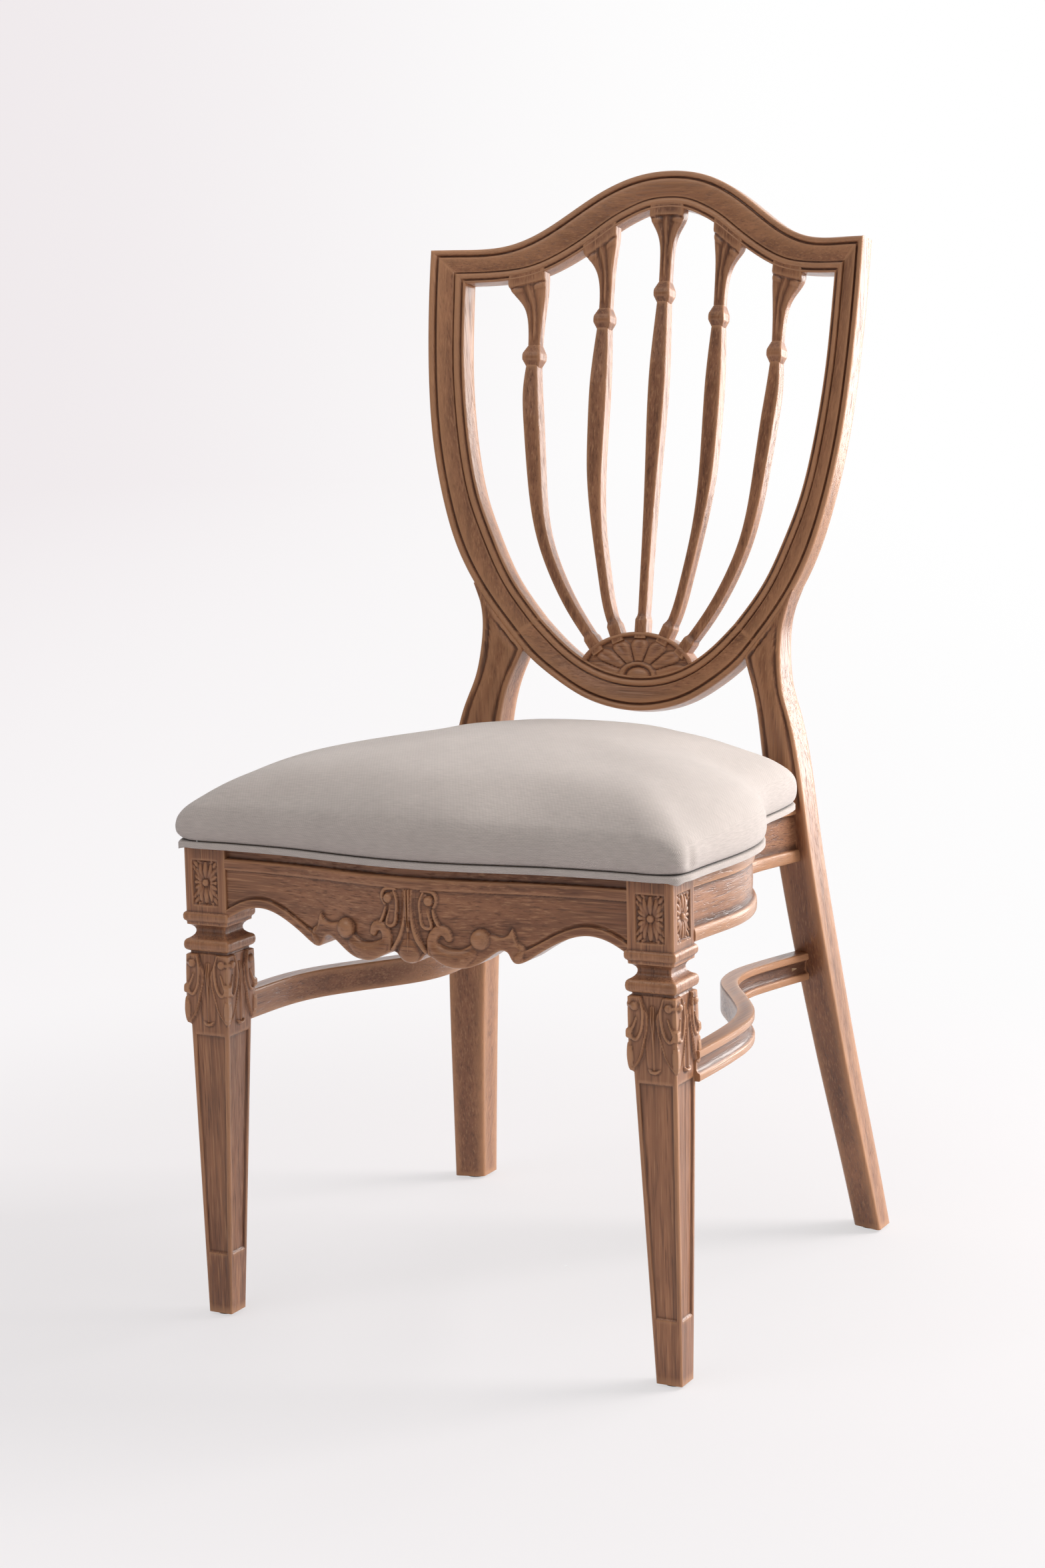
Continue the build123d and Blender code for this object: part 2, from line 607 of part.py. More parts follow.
def make_dowels():
    b = rail_base
    levels = (b + 13, rail_top - 14)
    face_x = block_x - front_block / 2
    back_face = block_y + front_block / 2
    groups = {}
    groups["front_rail_dowels"] = [pin((face_x - 18, 18, z), (face_x + 18, 18, z), 4) for z in levels]
    side_x = wide(212)
    rear_x = wide(158.5)
    rear_at = deep(388.5)
    groups["side_rail_dowels"] = [pin((side_x, back_face - 18, z), (side_x + 1, back_face + 18, z), 4) for z in levels]
    groups["side_rail_dowels"] += [pin((rear_x - 3, rear_at - 16, z), (rear_x + 2, rear_at + 11, z), 4) for z in levels]
    inner_x = post_x(146, 370)
    groups["rear_rail_dowels"] = [pin((inner_x - 16, rear_y + 22, z), (inner_x + 16, rear_y + 22, z), 4)
                                  for z in (b + 12, rail_top - 18)]
    mid = stretcher_base + stretcher_height / 2
    across = wide(low_line[1][0]) - stretcher_width / 2
    leg_face = block_y + leg_side(mid) / 2
    end_x = wide(166)
    end_y = deep(399.5)
    groups["stretcher_dowels"] = [pin((across, leg_face - 12, mid), (across, leg_face + 14, mid), 3)]
    groups["stretcher_dowels"] += [pin((end_x - 3, end_y - 15, mid), (end_x + 3, end_y + 13, mid), 3)]
    groups["post_dowels"] = [local_pin(x, z, 0.8, -0.6, 11, 3.5) for x, z in ((133, 558.5), (147.5, 578))]
    groups["crest_dowels"] = [local_pin(200.2, 889, 0.7, -0.7, 11, 3)]
    groups["oval_dowels"] = [local_pin(110.7, 553.6, 0.62, 0.78, 10, 3)]
    return groups


def make_screw(p, q, radius, head):
    way = (Vector(*q) - Vector(*p)).normalized()
    start = Vector(*p)
    cap = pin(tuple(start), tuple(start + way * 3), head)
    return cap + pin(tuple(start), q, radius)


def make_all():
    parts = {}
    leg = make_front_leg()
    rear = make_rear_leg()
    ring = make_shield()
    crest_cut, low_cut = shield_cuts()
    crest = ring & standing(crest_cut)
    low = ring & standing(low_cut)
    stiles = (ring - standing(crest_cut) - standing(low_cut)).solids().sort_by(Axis.X)
    fan = make_fan()
    tenons = []
    order = ["outer", "inner", "centre", "inner", "outer"]
    bodies = {kind: make_spindle(kind) for kind in spindles}
    for i, kind in enumerate(order):
        body = bodies[kind]
        tongue = spindle_tenons(kind)
        if i < 2:
            body = mirror(body, about=Plane.YZ)
            tongue = mirror(tongue, about=Plane.YZ)
        parts["back_spindle_%d" % (i + 1)] = shield_plane.location * body
        tenons.append(tongue)
    for tongue in tenons:
        crest = crest - tongue
        fan = fan - tongue
        low = low - tongue
    place = shield_plane.location
    parts["crest_rail"] = place * crest
    parts["shield_bottom_rail"] = place * low
    parts["shield_stile_left"] = place * stiles[0]
    parts["shield_stile_right"] = place * stiles[-1]
    parts["fan_patera"] = place * fan
    parts["front_leg_left"], parts["front_leg_right"] = both(leg)[::-1]
    parts["rear_leg_left"], parts["rear_leg_right"] = both(rear)[::-1]
    apron = make_front_apron(both(leg))
    side = make_side_apron(leg, rear)
    stretcher = make_stretcher(leg, rear)
    rear_apron = make_rear_apron(both(rear))
    block = make_corner_block([(135, 16), (213, 16), (213, 112)], rail_base + 6, rail_top - 7, [leg, apron, side])
    rear_block = make_corner_block([(86, 412), (152, 412), (152, 326)], rail_base + 6, rail_top - 7,
                                   [rear, rear_apron, side])
    parts["front_apron"] = apron
    parts["rear_apron"] = rear_apron
    for name, shape in (("side_apron", side), ("side_stretcher", stretcher), ("front_corner_block", block),
                        ("rear_corner_block", rear_block)):
        parts[name + "_right"], parts[name + "_left"] = both(shape)
    parts["seat_board"] = make_board()
    parts["seat_dust_cover"] = make_dust_cover()
    parts["seat_border"] = make_border()
    parts["seat_cushion"] = make_cushion()
    parts["seat_welt"] = make_welt()
    pins = make_dowels()
    zs = rail_base + 3
    pins["seat_screws"] = [make_screw((wide(x), deep(y), zs), (wide(x), deep(y), rail_top + 9), 2.2, 4.2)
                           for x, y in ((180, 56), (124, 384))]
    zc = rail_base + 27
    pins["corner_screws"] = [make_screw((wide(165), deep(51), zc), (block_x - 6, block_y + 4, zc), 2.4, 4.5),
                             make_screw((wide(123), deep(366), zc), (wide(154), deep(399), zc), 2.4, 4.5)]
    for name, shapes in pins.items():
        group = []
        for shape in shapes:
            group += both(shape)
        for key in list(parts):
            box = parts[key].bounding_box()
            for shape in group:
                seen = shape.bounding_box()
                apart = (seen.min.X > box.max.X or seen.max.X < box.min.X or seen.min.Y > box.max.Y
                         or seen.max.Y < box.min.Y or seen.min.Z > box.max.Z or seen.max.Z < box.min.Z)
                if not apart:
                    parts[key] = parts[key] - shape
        pins[name] = group
    for name, group in pins.items():
        parts[name] = Compound(children=[Compound(list(s.solids())) for s in group])
    feet = []
    for side in (-1, 1):
        feet.append(Pos(side * leg_centre(0), block_y, glide / 2) * Cylinder(8, glide))
        foot = rear.faces().sort_by(Axis.Z)[0].center()
        feet.append(Pos(side * foot.X, foot.Y, glide / 2) * Cylinder(10, glide))
    parts["foot_glides"] = Compound(children=feet)
    return parts


parts = make_all()
boxes = [shape.bounding_box() for shape in parts.values()]
middle = (min(b.min.Y for b in boxes) + max(b.max.Y for b in boxes)) / 2
os.makedirs("parts", exist_ok=True)
for name, shape in parts.items():
    export_step(Pos(0, -middle, 0) * shape, "parts/%s.step" % name)
print(len(parts), "parts, middle", round(middle, 2))
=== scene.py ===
import math

import bmesh
import bpy
import numpy as np
from mathutils import Matrix
from mathutils.kdtree import KDTree


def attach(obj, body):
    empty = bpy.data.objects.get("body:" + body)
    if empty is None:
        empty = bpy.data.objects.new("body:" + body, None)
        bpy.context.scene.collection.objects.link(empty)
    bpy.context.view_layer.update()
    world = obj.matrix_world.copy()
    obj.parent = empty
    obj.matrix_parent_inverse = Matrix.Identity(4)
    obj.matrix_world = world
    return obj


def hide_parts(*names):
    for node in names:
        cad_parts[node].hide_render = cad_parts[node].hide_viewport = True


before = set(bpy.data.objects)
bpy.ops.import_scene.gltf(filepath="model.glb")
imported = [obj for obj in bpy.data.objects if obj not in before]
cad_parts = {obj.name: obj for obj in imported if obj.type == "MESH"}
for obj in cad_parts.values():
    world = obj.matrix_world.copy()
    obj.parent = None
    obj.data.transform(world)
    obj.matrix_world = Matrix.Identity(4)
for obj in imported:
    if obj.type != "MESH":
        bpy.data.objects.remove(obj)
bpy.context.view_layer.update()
scene = bpy.context.scene
print("frame:", len(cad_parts), "nodes")

drawing = {"middle": 251.02}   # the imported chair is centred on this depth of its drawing


def placed(x, y, z):
    # drawing millimetres to the frame's metres
    x, y, z = np.broadcast_arrays(np.asarray(x, float), y, z)
    return np.stack([x, y - drawing["middle"], z], -1) / 1000


def cubic(knots, values):
    # natural cubic through the values, read at any place between the knots
    t = np.asarray(knots, float)
    v = np.asarray(values, float).reshape(len(t), -1)
    h = np.diff(t)
    a = np.eye(len(t))
    b = np.zeros_like(v)
    for i in range(1, len(t) - 1):
        a[i, i - 1:i + 2] = h[i - 1], 2 * (h[i - 1] + h[i]), h[i]
        b[i] = 6 * ((v[i + 1] - v[i]) / h[i] - (v[i] - v[i - 1]) / h[i - 1])
    m = np.linalg.solve(a, b)

    def read(s):
        s = np.asarray(s, float).ravel()
        i = np.clip(np.searchsorted(t, s) - 1, 0, len(t) - 2)
        d = (s - t[i])[:, None]
        k = h[i][:, None]
        e = k - d
        return (m[i] * e ** 3 + m[i + 1] * d ** 3) / (6 * k) + (v[i] / k - m[i] * k / 6) * e + \
            (v[i + 1] / k - m[i + 1] * k / 6) * d
    return read


def alongLine(points, count):
    # even steps along a smooth line through the points
    p = np.asarray(points, float)
    chord = np.r_[0, np.cumsum(np.linalg.norm(np.diff(p, axis=0), axis=1))]
    dense = cubic(chord, p)(np.linspace(0, chord[-1], count * 8))
    run = np.r_[0, np.cumsum(np.linalg.norm(np.diff(dense, axis=0), axis=1))]
    at = np.linspace(0, run[-1], count)
    return np.stack([np.interp(at, run, dense[:, k]) for k in range(p.shape[1])], 1)


def reading(points):
    # a line as a plain function of its first value
    p = alongLine(points, 400)
    p = p[np.argsort(p[:, 0])]
    return lambda s: np.interp(s, p[:, 0], p[:, 1])


def carve(u, w, strokes):
    # height of rounded gouge work: strokes of (u, w, radius) with a height each
    top = np.zeros(np.broadcast(u, w).shape)
    for height, line in strokes:
        line = np.asarray(line, float)
        if len(line) > 2:
            line = alongLine(line, 5 * len(line))
        if len(line) == 1:
            line = np.repeat(line, 2, 0)
        widest = line[:, 2].max()
        for (ax, aw, ar), (bx, bw, br) in zip(line[:-1], line[1:]):
            dx, dw = bx - ax, bw - aw
            t = np.clip(((u - ax) * dx + (w - aw) * dw) / max(dx * dx + dw * dw, 1e-9), 0, 1)
            r = np.maximum(ar + (br - ar) * t, 0.05)
            d = np.hypot(u - ax - t * dx, w - aw - t * dw)
            top = np.maximum(top, height * r / widest * np.sqrt(np.clip(1 - (d / r) ** 2.6, 0, 1)))
    return top


def step(value, low, high):
    # soft rise from 0 to 1
    t = np.clip((value - low) / (high - low), 0, 1)
    return t * t * (3 - 2 * t)


def skin(name, rings, looped=False, capped=True, crease=35):
    # mesh over stations of closed loops, metres
    rings = np.asarray(rings, float)
    m, n = rings.shape[:2]
    index = np.arange(m * n).reshape(m, n)
    a = index if looped else index[:-1]
    b = np.roll(index, -1, 0) if looped else index[1:]
    quads = np.stack([a, np.roll(a, -1, 1), np.roll(b, -1, 1), b], -1).reshape(-1, 4).tolist()
    if capped and not looped:
        quads += [index[0][::-1].tolist(), index[-1].tolist()]
    mesh = bpy.data.meshes.new(name)
    mesh.from_pydata(rings.reshape(-1, 3).tolist(), [], quads)
    return settled(name, mesh, crease)


def settled(name, mesh, crease):
    bm = bmesh.new()
    bm.from_mesh(mesh)
    bmesh.ops.remove_doubles(bm, verts=bm.verts, dist=2e-6)
    bmesh.ops.dissolve_degenerate(bm, edges=bm.edges, dist=1e-6)
    bmesh.ops.recalc_face_normals(bm, faces=bm.faces)
    bm.to_mesh(mesh)
    bm.free()
    mesh.polygons.foreach_set("use_smooth", [True] * len(mesh.polygons))
    mesh.set_sharp_from_angle(angle=math.radians(crease))
    piece = bpy.data.objects.new(name, mesh)
    scene.collection.objects.link(piece)
    return piece


def spots(mesh, what="co"):
    flat = np.empty(len(mesh.vertices) * 3)
    mesh.vertices.foreach_get(what, flat)
    return flat.reshape(-1, 3)


# how the ridges and cuts are found: rounds of smoothing, the rounds that count, and how each is weighed; the
# ridges take the rubbed colour, partly real wear and partly painted highlight, and the cuts take the glaze,
# partly real glaze and partly painted shade
rubAndShadeSteps = {
    "rounds": 24, "counted": (4, 10, 24), "pull": 0.6, "leastGap": 0.25,
    "base": 0.5, "growth": 0.045, "limit": 0.9,
}


def rubbing(mesh):
    # signed height over the smoothed shape, millimetres: ridges above nought, cuts below, read as rubbed wear
    # with painted highlight on the ridges and as glaze with painted shade in the cuts
    count = len(mesh.vertices)
    spot = spots(mesh) * 1000
    facing = spots(mesh, "normal")
    pairs = np.empty(len(mesh.edges) * 2, int)
    mesh.edges.foreach_get("vertices", pairs)
    a, b = pairs.reshape(-1, 2).T
    weight = 1 / np.maximum(np.linalg.norm(spot[a] - spot[b], axis=1), rubAndShadeSteps["leastGap"])
    total = np.bincount(a, weight, count) + np.bincount(b, weight, count)
    calm = spot.copy()
    rubAndShadeLevel = np.zeros(count)
    for turn in range(1, rubAndShadeSteps["rounds"] + 1):
        near = [np.bincount(a, weight * calm[b, k], count) + np.bincount(b, weight * calm[a, k], count)
                for k in range(3)]
        pull = np.stack(near, 1) / np.maximum(total, 1e-9)[:, None]
        calm = (1 - rubAndShadeSteps["pull"]) * calm + rubAndShadeSteps["pull"] * pull
        if turn in rubAndShadeSteps["counted"]:
            rubAndShadeLevel += np.sum((spot - calm) * facing, axis=1) / (rubAndShadeSteps["base"] + rubAndShadeSteps["growth"] * turn)
    layer = mesh.attributes.new("rubbing", "FLOAT", "POINT")
    layer.data.foreach_set("value", rubAndShadeLevel / (rubAndShadeSteps["limit"] + np.abs(rubAndShadeLevel)))


def stand(piece, finish, slot, *nodes):
    piece.data.materials.clear()
    piece.data.materials.append(finish)
    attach(piece, "root")
    if nodes:
        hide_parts(*nodes)
    if slot == "glazed_wood":
        rubbing(piece.data)
    return piece


def mirroredPiece(piece, name):
    mesh = piece.data.copy()
    mesh.transform(Matrix.Scale(-1, 4, (1, 0, 0)))
    mesh.flip_normals()
    twin = bpy.data.objects.new(name, mesh)
    scene.collection.objects.link(twin)
    return twin


# finishes
# rubbed colour: the finish rubbed back on ridges and pore flecks, on the ridges also painted highlight; glaze
# colour: glaze in the cuts, also painted shade
woodLook = {
    "dark": (0.092, 0.037, 0.020), "mid": (0.200, 0.083, 0.043), "pale": (0.352, 0.160, 0.082),
    "rubAndHighlight": (0.510, 0.262, 0.134), "darkGlazeShade": (0.060, 0.024, 0.014), "bump": (0.45, 0.0007),
    "shine": {"Specular IOR Level": 0.18, "Coat Weight": 1.0, "Coat IOR": 1.3, "Coat Roughness": 0.24},
}
linenLook = {
    # fold: the colour of the painted shade in the cloth's folds and creases
    "thread": (0.605, 0.542, 0.505), "shade": (0.415, 0.366, 0.338), "fold": (0.16, 0.14, 0.13),
    "pitch": 0.0011, "bump": (0.35, 0.0005), "shine": {"Sheen Weight": 0.25, "Sheen Roughness": 0.5},
}


def nodeTools(tree):
    def add(kind, **values):
        # in0, in1 and so on set sockets, other names set the node's own choices
        node = tree.nodes.new(kind)
        for key, value in values.items():
            if key.startswith("in") and key[2:].isdigit():
                node.inputs[int(key[2:])].default_value = value
            else:
                setattr(node, key, value)
        return node

    def join(source, target):
        tree.links.new(source, target)
    return add, join


def nodeTree(name):
    finish = bpy.data.materials.new(name)
    finish.use_nodes = True
    add, join = nodeTools(finish.node_tree)
    return finish, finish.node_tree.nodes["Principled BSDF"], add, join


def ramp(add, join, source, stops):
    node = add("ShaderNodeValToRGB")
    while len(node.color_ramp.elements) < len(stops):
        node.color_ramp.elements.new(0.5)
    for element, (spot, colour) in zip(node.color_ramp.elements, stops):
        element.position = spot
        element.color = (*colour, 1) if len(colour) == 3 else colour
    join(source, node.inputs[0])
    return node.outputs[0]


def grey(v):
    return (v, v, v)


def mixed(add, join, how, share, one, two):
    node = add("ShaderNodeMix", data_type="RGBA", blend_type=how)
    if isinstance(share, float):
        node.inputs[0].default_value = share
    else:
        join(share, node.inputs[0])
    for socket, value in ((node.inputs[6], one), (node.inputs[7], two)):
        if isinstance(value, tuple):
            socket.default_value = (*value, 1)
        else:
            join(value, socket)
    return node.outputs[2]


def grain(add, join, place, scale, detail, rough):
    noise = add("ShaderNodeTexNoise", in2=scale, in3=detail, in4=rough)
    join(place, noise.inputs[0])
    return noise.outputs[0]


def drawnOut(add, join, place, along, fine, coarse):
    # coordinates drawn out along the fibres
    squeeze = add("ShaderNodeMapping")
    squeeze.inputs[3].default_value = [coarse if k == along else fine for k in range(3)]
    join(place, squeeze.inputs[0])
    return squeeze.outputs[0]


def bumped(add, join, shader, height, strength, distance):
    bump = add("ShaderNodeBump")
    bump.inputs["Strength"].default_value = strength
    bump.inputs["Distance"].default_value = distance
    join(height, bump.inputs["Height"])
    join(bump.outputs[0], shader.inputs["Normal"])
    return bump.outputs[0]


def setShine(shader, values):
    for socket, value in values.items():
        shader.inputs[socket].default_value = value


def glazedWood(name, along, look=woodLook):
    # open-pored brown wood, rubbed golden on the high places, dark glaze left in the cuts; the golden is
    # partly painted highlight and the dark glaze partly painted shade
    finish, shader, add, join = nodeTree(name)
    where = add("ShaderNodeTexCoord")

    def streak(fine, coarse, detail, rough):
        place = drawnOut(add, join, where.outputs[3], along, fine, coarse)
        return grain(add, join, place, 1.0, detail, rough)

    wide = streak(26.0, 2.2, 3.0, 0.55)
    fibre = streak(190.0, 3.6, 4.0, 0.6)
    pore = streak(720.0, 15.0, 2.0, 0.6)
    cloud = streak(9.0, 5.0, 2.0, 0.5)
    body = ramp(add, join, wide, [(0.30, look["mid"]), (0.55, look["pale"]), (0.72, look["mid"])])
    streaks = ramp(add, join, fibre, [(0.33, grey(0.62)), (0.60, grey(1.12))])
    body = mixed(add, join, "MULTIPLY", 0.55, body, streaks)
    clouds = ramp(add, join, cloud, [(0.30, grey(0.72)), (0.68, grey(1.15))])
    body = mixed(add, join, "MULTIPLY", 0.40, body, clouds)
    pores = ramp(add, join, pore, [(0.32, grey(0.60)), (0.44, grey(0.0))])
    bright = ramp(add, join, pore, [(0.55, grey(0.0)), (0.68, grey(0.55))])
    body = mixed(add, join, "MIX", bright, body, look["rubAndHighlight"])
    body = mixed(add, join, "MIX", pores, body, look["dark"])
    rubAndShadeLevel = add("ShaderNodeAttribute", attribute_name="rubbing")
    level = add("ShaderNodeMath", operation="MULTIPLY_ADD", in1=0.5, in2=0.5)
    join(rubAndShadeLevel.outputs["Fac"], level.inputs[0])
    patch = add("ShaderNodeMath", operation="MULTIPLY_ADD", in1=0.10, in2=-0.05)
    join(fibre, patch.inputs[0])
    place = add("ShaderNodeMath", operation="ADD")
    join(level.outputs[0], place.inputs[0])
    join(patch.outputs[0], place.inputs[1])
    # ridges lightened towards the rubbed colour: real rubbed finish and painted highlight
    high = ramp(add, join, place.outputs[0], [(0.55, grey(0.0)), (0.84, grey(0.75))])
    body = mixed(add, join, "MIX", high, body, look["rubAndHighlight"])
    # cuts darkened towards the glaze colour: real glaze and painted shade
    recessShadeMask = ramp(add, join, place.outputs[0], [(0.12, grey(0.74)), (0.46, grey(0.0))])
    body = mixed(add, join, "MIX", recessShadeMask, body, look["darkGlazeShade"])
    join(body, shader.inputs["Base Color"])
    dull = ramp(add, join, fibre, [(0.3, grey(0.36)), (0.7, grey(0.50))])
    join(dull, shader.inputs["Roughness"])
    rise = add("ShaderNodeMath", operation="SUBTRACT")
    join(fibre, rise.inputs[0])
    join(pores, rise.inputs[1])
    join(bumped(add, join, shader, rise.outputs[0], *look["bump"]), shader.inputs["Coat Normal"])
    setShine(shader, look["shine"])
    return finish


def rawWood(name, pale, dark, along):
    finish, shader, add, join = nodeTree(name)
    where = add("ShaderNodeTexCoord")
    fibre = grain(add, join, drawnOut(add, join, where.outputs[3], along, 160.0, 12.0), 1.0, 5.0, 0.6)
    join(ramp(add, join, fibre, [(0.3, dark), (0.7, pale)]), shader.inputs["Base Color"])
    join(ramp(add, join, fibre, [(0.3, grey(0.75)), (0.7, grey(0.6))]), shader.inputs["Roughness"])
    bumped(add, join, shader, fibre, 0.2, 0.0004)
    return finish


def linen(name, look=linenLook):
    # fine diagonal weave with slubs, and painted shade in the folds
    finish, shader, add, join = nodeTree(name)
    where = add("ShaderNodeTexCoord")
    spot = add("ShaderNodeSeparateXYZ")
    join(where.outputs[3], spot.inputs[0])
    shape = add("ShaderNodeNewGeometry")
    lean = add("ShaderNodeSeparateXYZ")
    join(shape.outputs["True Normal"], lean.inputs[0])

    def count(how, one, two=None, three=None):
        node = add("ShaderNodeMath", operation=how)
        for socket, value in zip(node.inputs, (one, two, three)):
            if value is None:
                continue
            if isinstance(value, float):
                socket.default_value = value
            else:
                join(value, socket)
        return node.outputs[0]

    flat = count("GREATER_THAN", count("ABSOLUTE", lean.outputs[2]), 0.58)
    upright = count("SUBTRACT", 1.0, flat)
    aside = count("MULTIPLY", count("GREATER_THAN", count("ABSOLUTE", lean.outputs[0]), 0.72), upright)
    warp = count("ADD", count("MULTIPLY", spot.outputs[0], count("SUBTRACT", 1.0, aside)),
                 count("MULTIPLY", spot.outputs[1], aside))
    weft = count("ADD", count("MULTIPLY", spot.outputs[1], flat), count("MULTIPLY", spot.outputs[2], upright))
    bend = count("MULTIPLY", grain(add, join, where.outputs[3], 70.0, 2.0, 0.5), 5.0)
    turns = 2 * math.pi / look["pitch"]
    diagonal = count("ADD", warp, count("MULTIPLY", weft, 0.55))
    twill = count("SINE", count("MULTIPLY_ADD", diagonal, turns, bend))
    slant = count("SUBTRACT", weft, count("MULTIPLY", warp, 0.2))
    cross = count("SINE", count("MULTIPLY_ADD", slant, turns * 1.35, bend))
    weave = add("ShaderNodeMath", operation="MULTIPLY_ADD", in1=0.32, in2=0.45)
    join(count("MULTIPLY_ADD", cross, 0.45, twill), weave.inputs[0])
    thread = add("ShaderNodeCombineXYZ")
    join(count("MULTIPLY", warp, 90.0), thread.inputs[0])
    join(count("MULTIPLY", weft, 1100.0), thread.inputs[1])
    slub = grain(add, join, thread.outputs[0], 1.0, 3.0, 0.6)
    broad = grain(add, join, where.outputs[3], 24.0, 3.0, 0.55)
    cloth = ramp(add, join, weave.outputs[0], [(0.10, look["shade"]), (0.62, look["thread"])])
    slubs = ramp(add, join, slub, [(0.3, grey(0.70)), (0.7, grey(1.12))])
    cloth = mixed(add, join, "MULTIPLY", 0.5, cloth, slubs)
    patches = ramp(add, join, broad, [(0.3, grey(0.86)), (0.7, grey(1.06))])
    cloth = mixed(add, join, "MULTIPLY", 0.35, cloth, patches)
    # painted shade: ambient occlusion darkens the cloth towards the fold colour in its folds and creases
    deep = add("ShaderNodeAmbientOcclusion", samples=4)
    deep.inputs["Distance"].default_value = 0.008
    fold = ramp(add, join, deep.outputs["AO"], [(0.25, grey(0.8)), (0.75, grey(0.0))])
    cloth = mixed(add, join, "MIX", fold, cloth, look["fold"])
    join(cloth, shader.inputs["Base Color"])
    join(ramp(add, join, slub, [(0.3, grey(0.95)), (0.7, grey(0.84))]), shader.inputs["Roughness"])
    bumped(add, join, shader, weave.outputs[0], *look["bump"])
    setShine(shader, look["shine"])
    return finish


def plainGrain(name, one, two, scale, rough, metal=0.0):
    finish, shader, add, join = nodeTree(name)
    where = add("ShaderNodeTexCoord")
    speck = grain(add, join, where.outputs[3], scale, 4.0, 0.6)
    join(ramp(add, join, speck, [(0.3, one), (0.7, two)]), shader.inputs["Base Color"])
    join(ramp(add, join, speck, [(0.3, grey(rough)), (0.7, grey(rough + 0.15))]), shader.inputs["Roughness"])
    shader.inputs["Metallic"].default_value = metal
    bumped(add, join, shader, speck, 0.25, 0.0003)
    return finish


woodAcross = glazedWood("woodAcross", 0)
woodDeep = glazedWood("woodDeep", 1)
woodUp = glazedWood("woodUp", 2)
seatLinen = linen("seatLinen")
dowelWood = rawWood("dowelWood", (0.50, 0.33, 0.19), (0.34, 0.21, 0.11), 0)
blockWood = rawWood("blockWood", (0.42, 0.27, 0.15), (0.28, 0.17, 0.09), 0)
plyWood = rawWood("plyWood", (0.46, 0.31, 0.18), (0.33, 0.21, 0.11), 1)
dustCloth = plainGrain("dustCloth", (0.010, 0.010, 0.011), (0.022, 0.022, 0.024), 900.0, 0.82)
screwSteel = plainGrain("screwSteel", (0.42, 0.42, 0.43), (0.60, 0.60, 0.61), 700.0, 0.28, 1.0)
glideNylon = plainGrain("glideNylon", (0.020, 0.016, 0.014), (0.035, 0.030, 0.027), 500.0, 0.5)
print("finishes ready")

# the shield: hollow face, leaning back
shield = {"foot": 321.5, "tilt": math.radians(10.556), "hollow": 457.0, "board": 22.0}
crestTop = [(0, 971), (33.3, 967), (66.7, 953.5), (100, 932), (125, 916.5), (150, 907), (175, 904.3),
            (195, 904.4), (215.6, 904.5)]
crestLow = [(0, 937.5), (16.7, 936), (33.3, 930.3), (50, 921.7), (66.7, 910.3), (83.3, 899.2), (100, 889.5),
            (125, 879), (150, 874.7), (170, 873.6), (184.9, 873.4)]
stileOut = [(215.6, 904.5), (215.3, 880), (214, 839), (210.5, 784), (203.8, 728), (191.9, 673),
            (176, 626), (157, 591), (134.3, 560), (122.9, 546.2)]
stileIn = [(184.9, 873.4), (184, 845), (181.8, 800), (177, 755), (170, 713), (160, 674), (146.4, 640),
           (127.1, 601.4), (98.6, 564)]
ovalOut = [(122.9, 546.2), (110, 531.5), (80, 507.5), (51.4, 491.4), (22.9, 483.1), (0, 481)]
ovalIn = [(98.6, 564), (71.4, 538.5), (45, 522), (22, 514.6), (0, 512.5)]
moulding = {
    # distances from the outer edge, from the inner edge, and depths, millimetres
    "outer": [(0, 3.0), (0.35, 1.5), (1.0, 0.6), (2.0, 0.1), (2.8, 0.0), (3.7, 0.12), (4.6, 0.7),
              (5.2, 1.5), (5.5, 2.5), (6.0, 2.9), (6.7, 2.7), (7.2, 1.7), (7.5, 0.8), (8.0, 0.5)],
    "inner": [(10.2, 2.3), (9.9, 3.1), (9.2, 3.3), (8.9, 2.4), (8.3, 1.2), (7.2, 0.6), (6.0, 0.5),
              (4.8, 0.8), (3.9, 1.5), (3.5, 2.5), (2.9, 2.8), (2.2, 2.4), (1.9, 1.6), (1.4, 1.2),
              (0.8, 1.25), (0.3, 1.7), (0, 2.6)],
    "field": [(0.12, 0.55), (0.3, 0.8), (0.5, 1.15), (0.7, 1.6), (0.88, 2.1)],
}


def onShield(x, z, depth):
    # a point of the front view, sunk behind the hollow face
    x, z, depth = np.broadcast_arrays(np.asarray(x, float), z, depth)
    r = shield["hollow"]
    s, c = math.sin(shield["tilt"]), math.cos(shield["tilt"])
    up = (z - (r - np.sqrt(r * r - x * x)) * s) / c
    ahead = r - np.sqrt((r + depth) ** 2 - x * x)
    return placed(x, shield["foot"] + up * s - ahead * c, up * c + ahead * s)


def mirroredLine(half):
    return [(-x, z) for x, z in half[:0:-1]] + list(half)


